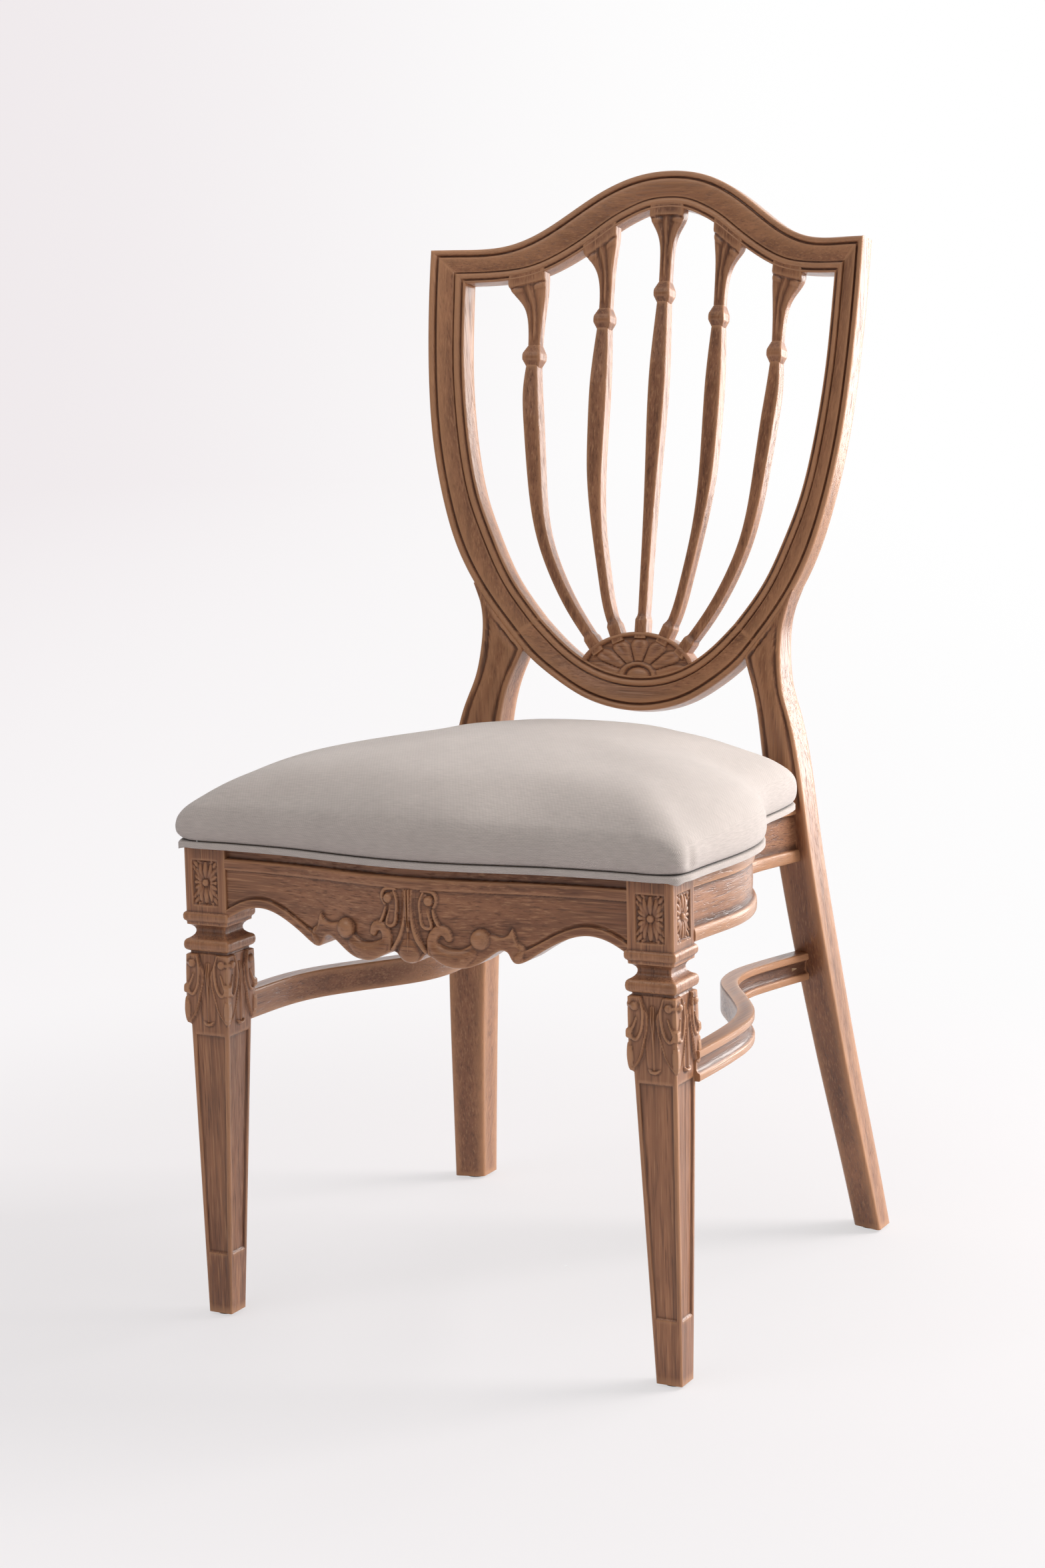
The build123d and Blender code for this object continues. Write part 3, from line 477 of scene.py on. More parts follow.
def moulded(name, outer, inner):
    # a moulded length of the shield between two matching edge lines
    run = np.gradient(outer, axis=0)
    runIn = np.gradient(inner, axis=0)
    cross = inner - outer
    wide = np.linalg.norm(cross, axis=1)

    def leaning(way):
        # how far the cut across leaves the square, 1 where it is square
        turned = np.abs(way[:, 0] * cross[:, 1] - way[:, 1] * cross[:, 0])
        return turned / (np.linalg.norm(way, axis=1) * wide)

    slant, slantIn = leaning(run), leaning(runIn)
    loop = [(d / slant / wide, depth) for d, depth in moulding["outer"]]
    first = moulding["outer"][-1][0] / slant / wide
    last = 1 - moulding["inner"][0][0] / slantIn / wide
    loop += [(first + (last - first) * share, depth) for share, depth in moulding["field"]]
    loop += [(1 - e / slantIn / wide, depth) for e, depth in moulding["inner"]]
    back = shield["board"]
    none = 0 * wide
    deep = np.linspace(4.5, back - 2, 7)
    loop += [(none + 1, d) for d in deep] + [(1 - 0.7 / wide, back - 0.5), (1 - 2.2 / wide, back)]
    loop += [(none + share, back) for share in np.linspace(0.88, 0.12, 10)]
    loop += [(2.2 / wide, back), (0.7 / wide, back - 0.5)] + [(none, d) for d in deep[::-1]]
    rings = []
    for share, depth in loop:
        p = outer + cross * share[:, None]
        rings.append(onShield(p[:, 0], p[:, 1], depth))
    return skin(name, np.stack(rings, 1), crease=50)


def byWidth(line, reach, count):
    p = alongLine(mirroredLine(line), 900)
    x = np.linspace(-reach, reach, count)
    return np.stack([x, np.interp(x, p[:, 0], p[:, 1])], 1)


crest = moulded("crestRail", byWidth(crestTop, 215.6, 171), byWidth(crestLow, 184.9, 171))
stand(crest, woodAcross, "glazed_wood", "crest_rail")
stile = moulded("shieldStileRight", alongLine(stileOut, 110), alongLine(stileIn, 110))
stand(stile, woodUp, "glazed_wood", "shield_stile_right")
stand(mirroredPiece(stile, "shieldStileLeft"), woodUp, "glazed_wood", "shield_stile_left")
lowRail = moulded("shieldBottomRail", alongLine(mirroredLine(ovalOut[::-1]), 111),
                  alongLine(mirroredLine(ovalIn[::-1]), 111))
stand(lowRail, woodAcross, "glazed_wood", "shield_bottom_rail")
print("shield ring done")

# fan patera
fan = {"half": 60.0, "rise": 39.7, "base": 513.0, "petals": 7, "columns": 150, "rows": 46, "reach": 56.6}
ovalEdge = reading(mirroredLine(ovalIn[::-1]))


def fanDepth(x, z):
    u = x / fan["half"]
    w = (z - fan["base"]) / fan["rise"]
    r = np.hypot(u, w)
    turn = np.arctan2(u, np.maximum(w, 1e-3))
    rim = np.sqrt(np.clip(1 - ((r - 0.955) / 0.05) ** 2, 0, 1))
    share = turn / math.radians(180 / fan["petals"])
    off = np.abs(share - np.round(share)) * 2
    tip = 0.86 - 0.16 * off ** 2.4
    leaf = np.clip((tip - r) / 0.10, 0, 1) ** 0.5 * np.sqrt(np.clip(1 - (off / 0.98) ** 2.5, 0, 1))
    leaf = leaf * step(r, 0.26, 0.36)
    dip = 1 - 0.45 * np.exp(-(off / 0.45) ** 2) * step(r, 0.45, 0.72)
    ring = np.sqrt(np.clip(1 - ((r - 0.275) / 0.05) ** 2, 0, 1))
    button = np.sqrt(np.clip(1 - (r / 0.19) ** 2, 0, 1))
    return 4.2 - np.maximum.reduce([4.0 * rim, 2.9 * leaf * dip, 3.2 * ring, 3.4 * button])


def makeFan(name):
    rings = []
    for x in np.linspace(-fan["reach"], fan["reach"], fan["columns"]):
        low = float(ovalEdge(x)) - 0.6
        high = max(fan["base"] + fan["rise"] * math.sqrt(max(1 - (x / fan["half"]) ** 2, 0)), low + 0.4)
        z = np.linspace(low, high, fan["rows"])
        front = onShield(x, z, fanDepth(x, z))
        rim = onShield(x, np.full(5, high), np.linspace(6, 19, 5))
        behind = onShield(x, np.linspace(high, low, 9), 20.0)
        rings.append(np.concatenate([front, rim, behind]))
    return skin(name, rings, crease=60)


stand(makeFan("fanPatera"), woodAcross, "glazed_wood", "fan_patera")
print("fan done")

# spindles
spindleSet = {
    "outer": dict(
        shaft=[(122.6, 797, 10.5), (122.2, 775, 13.8), (119.7, 750, 14.5), (113.8, 700, 13.2),
               (102.6, 640, 10.4), (86, 600, 9.8), (68.3, 570, 9.6), (52, 548, 9.4)],
        inner=[(117, 812), (116.4, 835), (114.8, 857), (114.3, 872), (115.5, 889)],
        outer=[(128, 812), (129, 833), (134, 851), (142, 861), (146.8, 868), (147, 881)],
        knop=(122.4, 805, 16.4), foot=(48.2, 543, 36.5), nodes=("back_spindle_5", "back_spindle_1")),
    "inner": dict(
        shaft=[(57.8, 830, 11), (58, 800, 14.8), (58, 770, 16.4), (57.6, 735, 15.8), (56.6, 700, 14.3),
               (50.2, 645, 10), (41.2, 600, 8.9), (33.5, 570, 8.8), (28, 556, 8.8)],
        inner=[(52.2, 845), (52, 873), (51.2, 892), (49.4, 910), (49.4, 928)],
        outer=[(63.4, 845), (64.2, 868), (67.5, 881), (73, 890), (79.3, 898), (80.5, 910)],
        knop=(57.8, 838, 16.4), foot=(26.8, 554.5, 23.4), nodes=("back_spindle_4", "back_spindle_2")),
    "centre": dict(
        shaft=[(0, 853, 11), (0, 820, 14.2), (0, 785, 16.4), (0, 745, 15.5), (0, 700, 12.5), (0, 645, 9.8),
               (0, 600, 8.8), (0, 558, 8.2)],
        inner=[(-5.7, 868), (-5.9, 890), (-7.2, 906), (-11.4, 918), (-16.2, 927), (-16.8, 941)],
        outer=[(5.7, 868), (5.9, 890), (7.2, 906), (11.4, 918), (16.2, 927), (16.8, 941)],
        knop=(0, 861, 16.4), foot=(0, 560, 0), nodes=("back_spindle_3",)),
}
spindleCut = {"round": 1.9, "abacus": 6.6, "cap": 64, "across": 23, "behind": 15, "beside": 7}
crestEdge = reading(mirroredLine(crestLow))


def crossLoop(left, right, front, back, radius, relief=None):
    # left and right edge lines with rounded arrises, front and back depths
    across, behind, beside = spindleCut["across"], spindleCut["behind"], spindleCut["beside"]
    u = np.r_[np.sin(np.linspace(-math.pi / 2, math.pi / 2, across)), np.ones(beside),
              np.sin(np.linspace(math.pi / 2, -math.pi / 2, behind)), -np.ones(beside)]
    down = np.linspace(0, 1, beside + 2)[1:-1]
    deep = np.r_[np.zeros(across), down, np.ones(behind), down[::-1]]   # 0 in front, 1 behind
    ahead = deep == 0
    share = (u + 1) / 2
    p = left[:, None] * (1 - share)[None, :, None] + right[:, None] * share[None, :, None]
    half = np.linalg.norm(right - left, axis=1)[:, None] / 2
    r = np.minimum(radius, half * 0.9)
    short = np.clip(r - half * (1 - np.abs(u)), 0, None)
    drop = r - np.sqrt(np.maximum(r * r - short ** 2, 0))
    depth = (front[:, None] + drop) * (1 - deep) + (back[:, None] - drop) * deep
    if relief is not None:
        depth = depth - np.where(ahead, relief(p[..., 0], p[..., 1], np.broadcast_to(u, p.shape[:2])), 0)
    return p, depth


def makeSpindle(name, plan):
    kx, kz, kw = plan["knop"]
    cap = spindleCut["cap"]
    capLeft = alongLine(plan["inner"][::-1], cap)
    capRight = alongLine(plan["outer"][::-1], cap)
    rise = np.linspace(1, -1, 25)
    swell = np.interp(rise, [-1, -0.86, -0.3, 0.2, 0.86, 1], [5.3, 5.9, kw / 2, kw / 2, 5.9, 5.3])
    knopLeft = np.stack([kx - swell, kz + rise * 10.3], 1)
    knopRight = np.stack([kx + swell, kz + rise * 10.3], 1)
    shaft = alongLine(plan["shaft"], 100)
    lean = np.gradient(shaft[:, :2], axis=0)
    lean = lean / np.linalg.norm(lean, axis=1)[:, None]
    side = np.stack([-lean[:, 1], lean[:, 0]], 1) * shaft[:, 2:3] / 2
    fx, fz, turn = plan["foot"]
    tilt = math.radians(turn)
    way = np.array([-math.sin(tilt), -math.cos(tilt)])
    reach = np.r_[-7.6, -6.0, -4.4, -3.8, np.linspace(-3, 13, 9)]
    spread = np.r_[4.5, 5.0, 5.6, 5.8, np.full(9, 5.8)]
    foot = np.array([fx, fz]) + reach[:, None] * way
    flank = np.array([-way[1], way[0]]) * spread[:, None]
    keep = (shaft[:, :2] - np.array([fx, fz])) @ way < -8.0
    left = np.concatenate([capLeft, knopLeft, (shaft[:, :2] - side)[keep], foot - flank])
    right = np.concatenate([capRight, knopRight, (shaft[:, :2] + side)[keep], foot + flank])
    count = keep.sum()
    capFront = np.interp(np.arange(cap), [0, 14, 30, 56, 63], [4.0, 4.4, 5.4, 6.0, 6.0])
    knopFront = 6.0 - np.interp(np.abs(rise), [0, 0.3, 0.86, 1], [5.0, 4.6, 1.2, 0.2])
    shaftFront = np.interp(np.arange(count), [0, 18, count - 12, count - 1], [4.2, 2.2, 2.6, 2.9])
    footFront = np.r_[2.6, 2.0, 1.5, 1.3, np.full(9, 1.2)]
    front = np.concatenate([capFront, knopFront, shaftFront, footFront])
    knopBack = 15 + np.interp(np.abs(rise), [0, 0.3, 0.86, 1], [2.6, 2.3, 0.6, 0])
    back = np.concatenate([np.full(cap, 15.0), knopBack, np.full(count, 16.5), np.full(len(reach), 16.8)])

    def relief(x, z, u):
        slope = np.cos(np.arctan((crestEdge(x + 1) - crestEdge(x - 1)) / 2))
        under = (crestEdge(x) - z) * slope        # square to the crest's edge
        band = 2.6 * step(-under, -spindleCut["abacus"] - 0.8, -spindleCut["abacus"] + 0.6)
        inCap = step(z, kz + 12, kz + 22)
        opened = step(z, kz + 24, kz + 52)
        vein = 1.5 * np.exp(-((u + 0.02) / 0.20) ** 2) * inCap
        leaf = 1.1 * np.sqrt(np.clip(1 - ((np.abs(u) - 0.62) / 0.26) ** 2, 0, 1)) * opened
        curl = np.zeros_like(x)
        for spot in (-0.66, 0.66):
            far = np.hypot((u - spot) * 9, under - spindleCut["abacus"] - 4.0)
            curl = np.maximum(curl, 2.0 * np.sqrt(np.clip(1 - (far / 3.4) ** 2, 0, 1)))
        below = step(-under, -26, -spindleCut["abacus"])
        return np.maximum(band, np.maximum(np.maximum(vein, leaf), curl * below)) * (z > kz + 10.3)

    p, depth = crossLoop(left, right, front, back, spindleCut["round"], relief)
    return skin(name, onShield(p[..., 0], p[..., 1], depth), crease=42)


for kind, plan in spindleSet.items():
    piece = makeSpindle("spindle_" + kind, plan)
    stand(piece, woodUp, "glazed_wood", plan["nodes"][0])
    if len(plan["nodes"]) > 1:
        stand(mirroredPiece(piece, "spindle_" + kind + "_left"), woodUp, "glazed_wood", plan["nodes"][1])
print("spindles done")

# rear legs, running up into the shield
rearLeg = {
    "out": [(223.2, 0), (216.6, 60), (209.8, 120), (203.3, 180), (190.4, 300), (181.2, 380), (171, 457),
            (163, 486), (155.5, 507), (151, 535), (152.2, 570), (161, 597)],
    "in": [(195, 0), (187.4, 60), (179.1, 120), (170.6, 180), (154.2, 300), (143.4, 380), (132.8, 457),
           (128.8, 483), (121.5, 510), (112, 536), (108, 560)],
    "front": [(514, 0), (499, 60), (483.5, 120), (469, 180), (456.3, 240), (445, 300), (434.6, 380),
              (430, 450), (432.6, 500), (439, 545), (450, 605)],
    "back": [(543, 0), (530, 60), (516, 120), (502, 180), (489.6, 240), (479, 300), (468.6, 380), (464, 450),
             (465, 500), (469, 545), (477, 605)],
    "turn": 0.28, "round": 3.2, "foot": 2.0,
}


def heightOf(line):
    return reading([(z, x) for x, z in line])


def makeRearLeg(name):
    outer, inner = heightOf(rearLeg["out"]), heightOf(rearLeg["in"])
    near, far = heightOf(rearLeg["front"]), heightOf(rearLeg["back"])
    ringEdge = heightOf(stileOut[4:] + ovalOut[1:])
    z = np.r_[np.linspace(rearLeg["foot"], 360, 60), np.linspace(365, 596, 110)]
    xo = outer(z)
    xi = np.where(z < 560, inner(z), 108)
    xi = np.where(z > 488, np.maximum(xi, ringEdge(z) - 1.5), xi)
    xi = np.minimum(xi, xo - 0.6)
    left = np.stack([xi, z], 1)
    right = np.stack([xo, z], 1)

    def relief(x, height, u):
        # two sunk lanes beside the arrises and a swelling field between, above the seat
        lane = step(height, 396, 412)
        wide = (right[:, 0] - left[:, 0])[:, None]
        e = wide / 2 * (1 - np.abs(u))            # distance in from the nearer arris
        cut = 1.9 * np.sqrt(np.clip(1 - ((e - 5.4) / 1.5) ** 2, 0, 1))
        cut = cut + 0.6 * step(e, 4.5, 7) * (1 - step(e, 7, 12))
        return -cut * lane * step(wide, 12, 26)

    p, depth = crossLoop(left, right, near(z), far(z), rearLeg["round"], relief)
    return skin(name, placed(p[..., 0], depth - rearLeg["turn"] * p[..., 0], p[..., 1]), crease=50)


leg = makeRearLeg("rearLegRight")
stand(leg, woodUp, "glazed_wood", "rear_leg_right")
stand(mirroredPiece(leg, "rearLegLeft"), woodUp, "glazed_wood", "rear_leg_left")
print("rear legs done")

# front legs with rosettes and leaf work
frontLeg = {
    "x": 204.5, "y": 23.0, "splay": 7.0, "rail": 355.0, "across": 57, "round": 1.2, "border": 3.3,
    "rows": [(2, 52, 7), (54, 59, 6), (68, 244, 16), (246, 252, 6), (252.8, 318.4, 100), (319.4, 354.2, 48),
             (355.2, 409, 70)],                   # heights from, to, and how many
    "side": [(2, 22.63), (56, 25.7), (255, 36.56), (262, 36.9), (270, 37.3), (300, 37.6),
             (318, 37.4), (318.4, 36.0), (320.2, 36.0), (320.6, 38.8), (321.5, 41.6),
             (323, 43.5), (325.7, 44.3), (328.4, 43.6), (330, 41.8), (330.9, 39.0), (331.3, 36.6),
             (332.4, 33.6), (334, 30.4), (336, 28.8), (338, 28.8), (340, 30.4), (341.6, 33.6),
             (342.8, 37.0), (343, 39.6), (345.8, 40), (346.2, 41.4), (347, 43.2), (348.6, 44.3),
             (351.4, 44.4), (353, 43.4), (353.8, 41.8), (354.2, 40), (409, 40)],
    "rosette": [
        (3.0, [(0, 0, 3.3)]), (1.9, [(0, 4.2, 1.4), (0, 11, 2.5), (0, 16.2, 1.6)]),
        (1.7, [(2.6, 3.6, 1.2), (4.7, 10, 2.2), (5.2, 14.6, 1.4)]),
        (1.7, [(4.2, 1.8, 1.1), (8.4, 4.4, 1.9), (9.9, 5.2, 1.2)]),
        (1.6, [(3.7, 2.7, 1.1), (7.4, 8.2, 2.0), (8.6, 10.6, 1.3)]),
        (1.6, [(4.4, 0, 1.1), (9.6, 0, 1.7)]),
        (1.5, [(11.2, 17.6, 1.4), (8.6, 14.4, 1.7), (7.6, 12.6, 0.8)]),
        (1.3, [(11.4, 12.6, 1.3), (10.0, 9.6, 0.9)]), (1.3, [(6.8, 17.7, 1.3), (4.6, 16.9, 0.8)])],
    "leafEdge": [(254, 19.6), (258, 17.6), (261, 15.8), (264.5, 13.2), (271, 9.6), (282, 6.4),
                 (291, 4.0), (300, 3.0), (304, 3.6), (308, 5.6), (312, 7.4), (318, 9.2)],
    "tongue": [(256, 1.0), (257.5, 3.8), (260, 5.6), (264, 6.6), (272, 7.2), (284, 7.0), (300, 5.0)],
    "leaf": [
        (2.5, [(14.6, 310.2, 3.5)]),
        (1.5, [(10.2, 317.6, 1.0), (8.0, 309, 1.25), (8.4, 296, 1.3), (11.2, 287, 1.3),
               (14.9, 283.4, 1.3), (18.2, 286.6, 1.3), (16.4, 293.4, 1.2), (13.4, 301, 0.9)]),
        (1.4, [(2.3, 309.6, 0.9), (2.9, 301, 1.3), (3.9, 291.5, 1.5), (6.6, 281.9, 1.7), (9.6, 271, 1.7),
               (13.4, 264.5, 1.3), (17.4, 258.4, 1.0)]),
        (1.4, [(19.0, 280, 1.0), (18.4, 271, 1.8), (19.2, 260, 1.4)])],
    "vein": [
        (1.5, [(0.75, 309.8, 0.8), (0.85, 298, 0.9), (0.4, 288, 0.8), (0, 260, 0.75)]),
        (2.3, [(0, 257.6, 1.6), (2.4, 258.0, 1.5), (4.6, 259.6, 0.9)])],
}


def makeFrontLeg(name):
    s = np.asarray(frontLeg["side"])
    z = np.concatenate([np.linspace(*row) for row in frontLeg["rows"]])
    side = np.interp(z, s[:, 0], s[:, 1])
    centre = frontLeg["x"] + frontLeg["splay"] * np.clip(1 - z / frontLeg["rail"], 0, None)
    count = frontLeg["across"]
    rad = frontLeg["round"]
    rings = []
    for face in range(4):
        turn = face * math.pi / 2
        normal = np.array([math.cos(turn), math.sin(turn)])
        along = np.array([-math.sin(turn), math.cos(turn)])
        u = np.linspace(-1, 1, count)[None, :-1]
        reach = side[:, None] / 2 - 0.293 * rad
        t = u * reach
        e = side[:, None] / 2 - np.abs(t)
        short = np.clip(rad - e, 0, None)
        out = side[:, None] / 2 - (rad - np.sqrt(rad * rad - short ** 2))
        height = np.broadcast_to(z[:, None], t.shape)
        out = out + legRelief(t, height, side[:, None], face)
        corner = np.where(np.abs(u) > 0.999, np.sign(u), 0) * (out - reach)
        x = centre[:, None] + normal[0] * out + along[0] * (t + corner)
        y = frontLeg["y"] + normal[1] * out + along[1] * (t + corner)
        rings.append(placed(x, y, height))
    return skin(name, np.concatenate(rings, 1), crease=48)


def legRelief(t, z, side, face):
    u = np.abs(t)
    edge = np.asarray(frontLeg["leafEdge"], float)
    line = np.interp(z, edge[:, 0], edge[:, 1])
    inLeaf = step(u - line, -0.6, 1.2) * step(z, 254.0, 256.2)
    tongue = np.asarray(frontLeg["tongue"], float)
    middle = step(np.interp(z, tongue[:, 0], tongue[:, 1]) - u, -0.4, 1.4)
    middle = middle * (1 - step(z, 299, 309)) * step(z, 255.6, 257.4)
    work = 1 - step(z, 317.4, 318.2)
    swell = 2.1 + 0.35 * np.sin(np.clip((z - 256) / 62, 0, 1) * math.pi)
    leaf = np.maximum(swell * inLeaf, 0.9 * middle)
    leaf = leaf + carve(u, z, frontLeg["leaf"]) * np.maximum(inLeaf, 0.35 * (z < 312))
    leaf = leaf + carve(u, z, frontLeg["vein"])
    leaf = leaf - 0.8 * np.exp(-((u - 13) / 3.4) ** 2) * np.exp(-((z - 296) / 8) ** 2)
    rise = leaf * work
    inside = step(side / 2 - u, frontLeg["border"], frontLeg["border"] + 0.8)   # sunk panels down the taper
    rise = rise - 1.7 * inside * step(z, 55, 57) * (1 - step(z, 247, 249)) * (leaf < 0.05)
    if face in (0, 3):
        w = z - 379.3
        panel = step(12.6 - u, 0, 0.9) * step(19.2 - np.abs(w), 0, 1.0)
        rise = rise + panel * (carve(u, np.abs(w), frontLeg["rosette"]) - 2.2)
    return rise


leg = makeFrontLeg("frontLegRight")
stand(leg, woodUp, "glazed_wood", "front_leg_right")
stand(mirroredPiece(leg, "frontLegLeft"), woodUp, "glazed_wood", "front_leg_left")
print("front legs done")

# carved front apron
apron = {
    "plan": [(0, -13), (40, -9.6), (60, -6.6), (80, -3.2), (100, -0.2), (125, 3), (150, 4.8), (200, 5.5)],
    "low": [(186, 349), (172, 357), (150, 361.7), (136, 358.8), (121, 351.8), (108, 344), (100, 338.8),
            (96, 336.9), (89.5, 336.6), (86.5, 340.5), (84, 344.6), (79.5, 346.2), (74, 344),
            (66, 338.4), (56, 332.4), (46, 330), (35, 331), (25, 335.5), (17, 339.4)],
    "tip": [(17, 339.4), (13.5, 338.6), (8, 333.4), (0, 331)],
    "ledge": [(186, 357.5), (172, 364.8), (150, 369.2), (136, 366.4), (121, 359.8), (108, 352.4),
              (96, 346), (88, 341)],
    "half": 185.2, "thick": 24.0, "top": 409.0, "columns": 461, "rows": 100,
    "mass": [(15, 353), (20, 353), (25, 349.5), (30, 346.4), (36, 344.6), (43, 344.8), (50, 347.4),
             (57, 352.6), (64, 357.4), (71, 358.4), (77, 357.0), (82, 357.6), (85.6, 360.6),
             (88.2, 364.4), (89.6, 361), (91.4, 354.6), (94, 349.4), (98, 342)],
    "carving": [
        (7.2, [(62, 354, 8.6)]),
        (3.6, [(92.6, 351, 2.2), (95.4, 346, 3.6), (92.4, 340.4, 4.2)]),
        (5.4, [(56, 343, 5.4), (49, 338.6, 7.2), (41, 336.6, 8.4), (33, 337.4, 8.4), (26, 341.4, 6.8),
               (21.4, 347.6, 5.0), (21.8, 354.6, 4.5), (26.4, 359.4, 4.3), (32.0, 358.4, 4.1),
               (34.6, 354.0, 3.4)]),
        (4.6, [(18.6, 383, 4.3)]),
        (2.2, [(11.5, 390.5, 1.1), (17, 391.2, 1.6), (23, 389.2, 1.7), (24.8, 383.6, 1.6), (22.4, 378, 1.2)]),
        (3.0, [(13.4, 389.4, 1.0), (10.7, 382, 1.4), (11.2, 371, 1.5), (15.2, 361, 1.6),
               (19.6, 361.2, 1.4), (19.2, 368, 1.3), (16.4, 376, 0.9)]),
        (1.7, [(14.5, 385, 3.6), (15, 372, 4.4), (17.6, 362, 3.6)]),
        (2.6, [(21.6, 375.6, 1.0), (23.6, 369, 1.5), (27, 362.6, 1.4)]),
        (4.2, [(3.3, 391, 1.1), (2.9, 375, 1.4), (4.4, 362, 1.8), (9.0, 350, 2.1), (15.0, 341.6, 1.7)]),
        (3.9, [(1.2, 391, 0.9), (1.15, 374, 0.95), (0.5, 358, 0.8)]),
        (3.9, [(0, 360, 0.8), (0, 341, 0.9)]),
        (3.6, [(0, 352, 4.4), (0, 344, 8.4), (0, 341, 9.8)]),
        (2.1, [(0, 392, 6.6), (0, 372, 6.6), (0, 356, 9.4), (0, 346, 12)])],
}


def apronTools():
    plan = reading(mirroredLine(apron["plan"]))
    rise = alongLine(apron["low"], 300)[::-1]
    drop = alongLine(apron["tip"], 60)[::-1]
    line = np.concatenate([drop, rise])
    ledge = alongLine(apron["ledge"], 200)[::-1]

    def low(x):
        return np.interp(np.abs(x), line[:, 0], line[:, 1])

    def over(x):
        return np.interp(np.abs(x), ledge[:, 0], ledge[:, 1])
    return plan, low, over


def makeApron(name):
    plan, low, over = apronTools()
    x = np.linspace(-apron["half"], apron["half"], apron["columns"])
    share = np.linspace(0, 1, apron["rows"])
    z = low(x)[:, None] * (1 - share) + apron["top"] * share
    wide = np.broadcast_to(x[:, None], z.shape)
    a = np.abs(wide)
    band = 2.2 * np.sqrt(np.clip(1 - (np.abs(z - 396.2) / 4.9) ** 6, 0, 1))
    strip = -2.6 * step(z, 400.4, 401.4)
    under = over(x)[:, None] - z
    ledge = 2.2 * step(under, 0.0, 0.9) * step(a, 90, 97)
    hollow = -1.0 * step(under, -3.5, 0.2) * (1 - step(under, 0, 0.6)) * step(a, 92, 100)
    cut = carve(a, z, apron["carving"])
    leafTop = alongLine(apron["mass"], 200)
    mass = 2.7 * step(np.interp(a, leafTop[:, 0], leafTop[:, 1]) - z, -0.3, 1.3)
    cut = np.maximum(cut, mass * step(a, 15, 18) * (1 - step(a, 96.4, 98)))
    ground = -0.7 * np.exp(-((a - 45) / 44) ** 4) * (1 - step(z, 364, 378)) * (1 - step(cut, 0.0, 0.4))
    lip = np.clip(1.2 - (z - low(x)[:, None]), 0, 1.2)
    rise = np.maximum.reduce([band, ledge, cut]) + strip + hollow + ground - 0.6 * lip ** 2
    front = placed(wide, plan(x)[:, None] - rise, z)
    back = apron["thick"]
    rest = [(1, d) for d in np.linspace(3, back, 7)] + [(h, back) for h in np.linspace(0.93, 0.07, 14)]
    rest += [(0, d) for d in np.linspace(back, 3, 7)]
    behind = np.stack([placed(x, plan(x) + d, low(x) * (1 - h) + apron["top"] * h) for h, d in rest], 1)
    return skin(name, np.concatenate([front, behind], 1), crease=60)


stand(makeApron("frontApron"), woodAcross, "glazed_wood", "front_apron")
print("front apron done")

# wandering side rails and stretchers
sideRail = {
    "line": [(221, 30), (226, 78), (229, 110), (227, 140), (219, 171), (205, 202), (187, 231),
             (171, 256), (160, 278), (154.5, 298), (154, 319), (158, 344), (164, 369), (171, 396),
             (175, 410)],
    "from": 42.0, "to": 393.0,
    "profile": [(-22, 355), (1.0, 355), (2.4, 355.6), (3.1, 357), (3.3, 360.5), (3.0, 364), (2.2, 365.8),
                (0.8, 366.6), (-0.3, 367.2), (-0.5, 369), (0, 375), (0.2, 382), (0, 390), (-0.5, 396.4),
                (-0.3, 397.6), (0.8, 398), (1.8, 398.6), (2.1, 400), (2.1, 408), (1.6, 409), (-22, 409)],
}
stretcher = {
    "line": [(229.5, 30), (230, 81), (229, 112), (227, 138), (222, 163), (213.5, 186), (200, 210), (184, 235),
             (170, 256), (159.5, 277), (154.7, 298), (154.4, 320), (159, 345), (165, 369), (173, 398),
             (179, 418)],
    "from": 38.0, "to": 403.0,
    "profile": [(-14.6, 244.5), (-1.0, 244.5), (-0.2, 245.0), (0, 246), (0, 249.8), (-0.5, 250.8),
                (-2.2, 251.6), (-3.2, 253.6), (-3.4, 257), (-3.2, 260.4), (-2.2, 262.4), (-0.5, 263.2),
                (0, 264.2), (0, 268), (-0.2, 269), (-1.0, 269.5), (-14.6, 269.5), (-15.4, 268.6),
                (-15.5, 267), (-15.5, 247), (-15.4, 245.4)],
}


def filledIn(profile, gap):
    # a closed profile with more points on its long flats
    p = np.asarray(profile, float)
    out = []
    for a, b in zip(p, np.roll(p, -1, 0)):
        count = max(1, int(np.linalg.norm(b - a) / gap))
        out += [a + (b - a) * k / count for k in range(count)]
    return np.array(out)


def swept(name, plan, count, crease=40):
    line = alongLine(plan["line"], 600)
    line = line[(line[:, 1] >= plan["from"]) & (line[:, 1] <= plan["to"])]
    line = alongLine(line[::6], count)
    run = np.gradient(line, axis=0)
    run = run / np.linalg.norm(run, axis=1)[:, None]
    out = np.stack([run[:, 1], -run[:, 0]], 1)
    shape = filledIn(plan["profile"], 1.6)
    rings = [placed(line[:, 0] + o * out[:, 0], line[:, 1] + o * out[:, 1], z) for o, z in shape]
    return skin(name, np.stack(rings, 1), crease=crease)


for name, plan, node in (("sideApron", sideRail, "side_apron"),
                         ("sideStretcher", stretcher, "side_stretcher")):
    piece = swept(name + "Right", plan, 130)
    stand(piece, woodDeep, "glazed_wood", node + "_right")
    stand(mirroredPiece(piece, name + "Left"), woodDeep, "glazed_wood", node + "_left")
print("rails done")

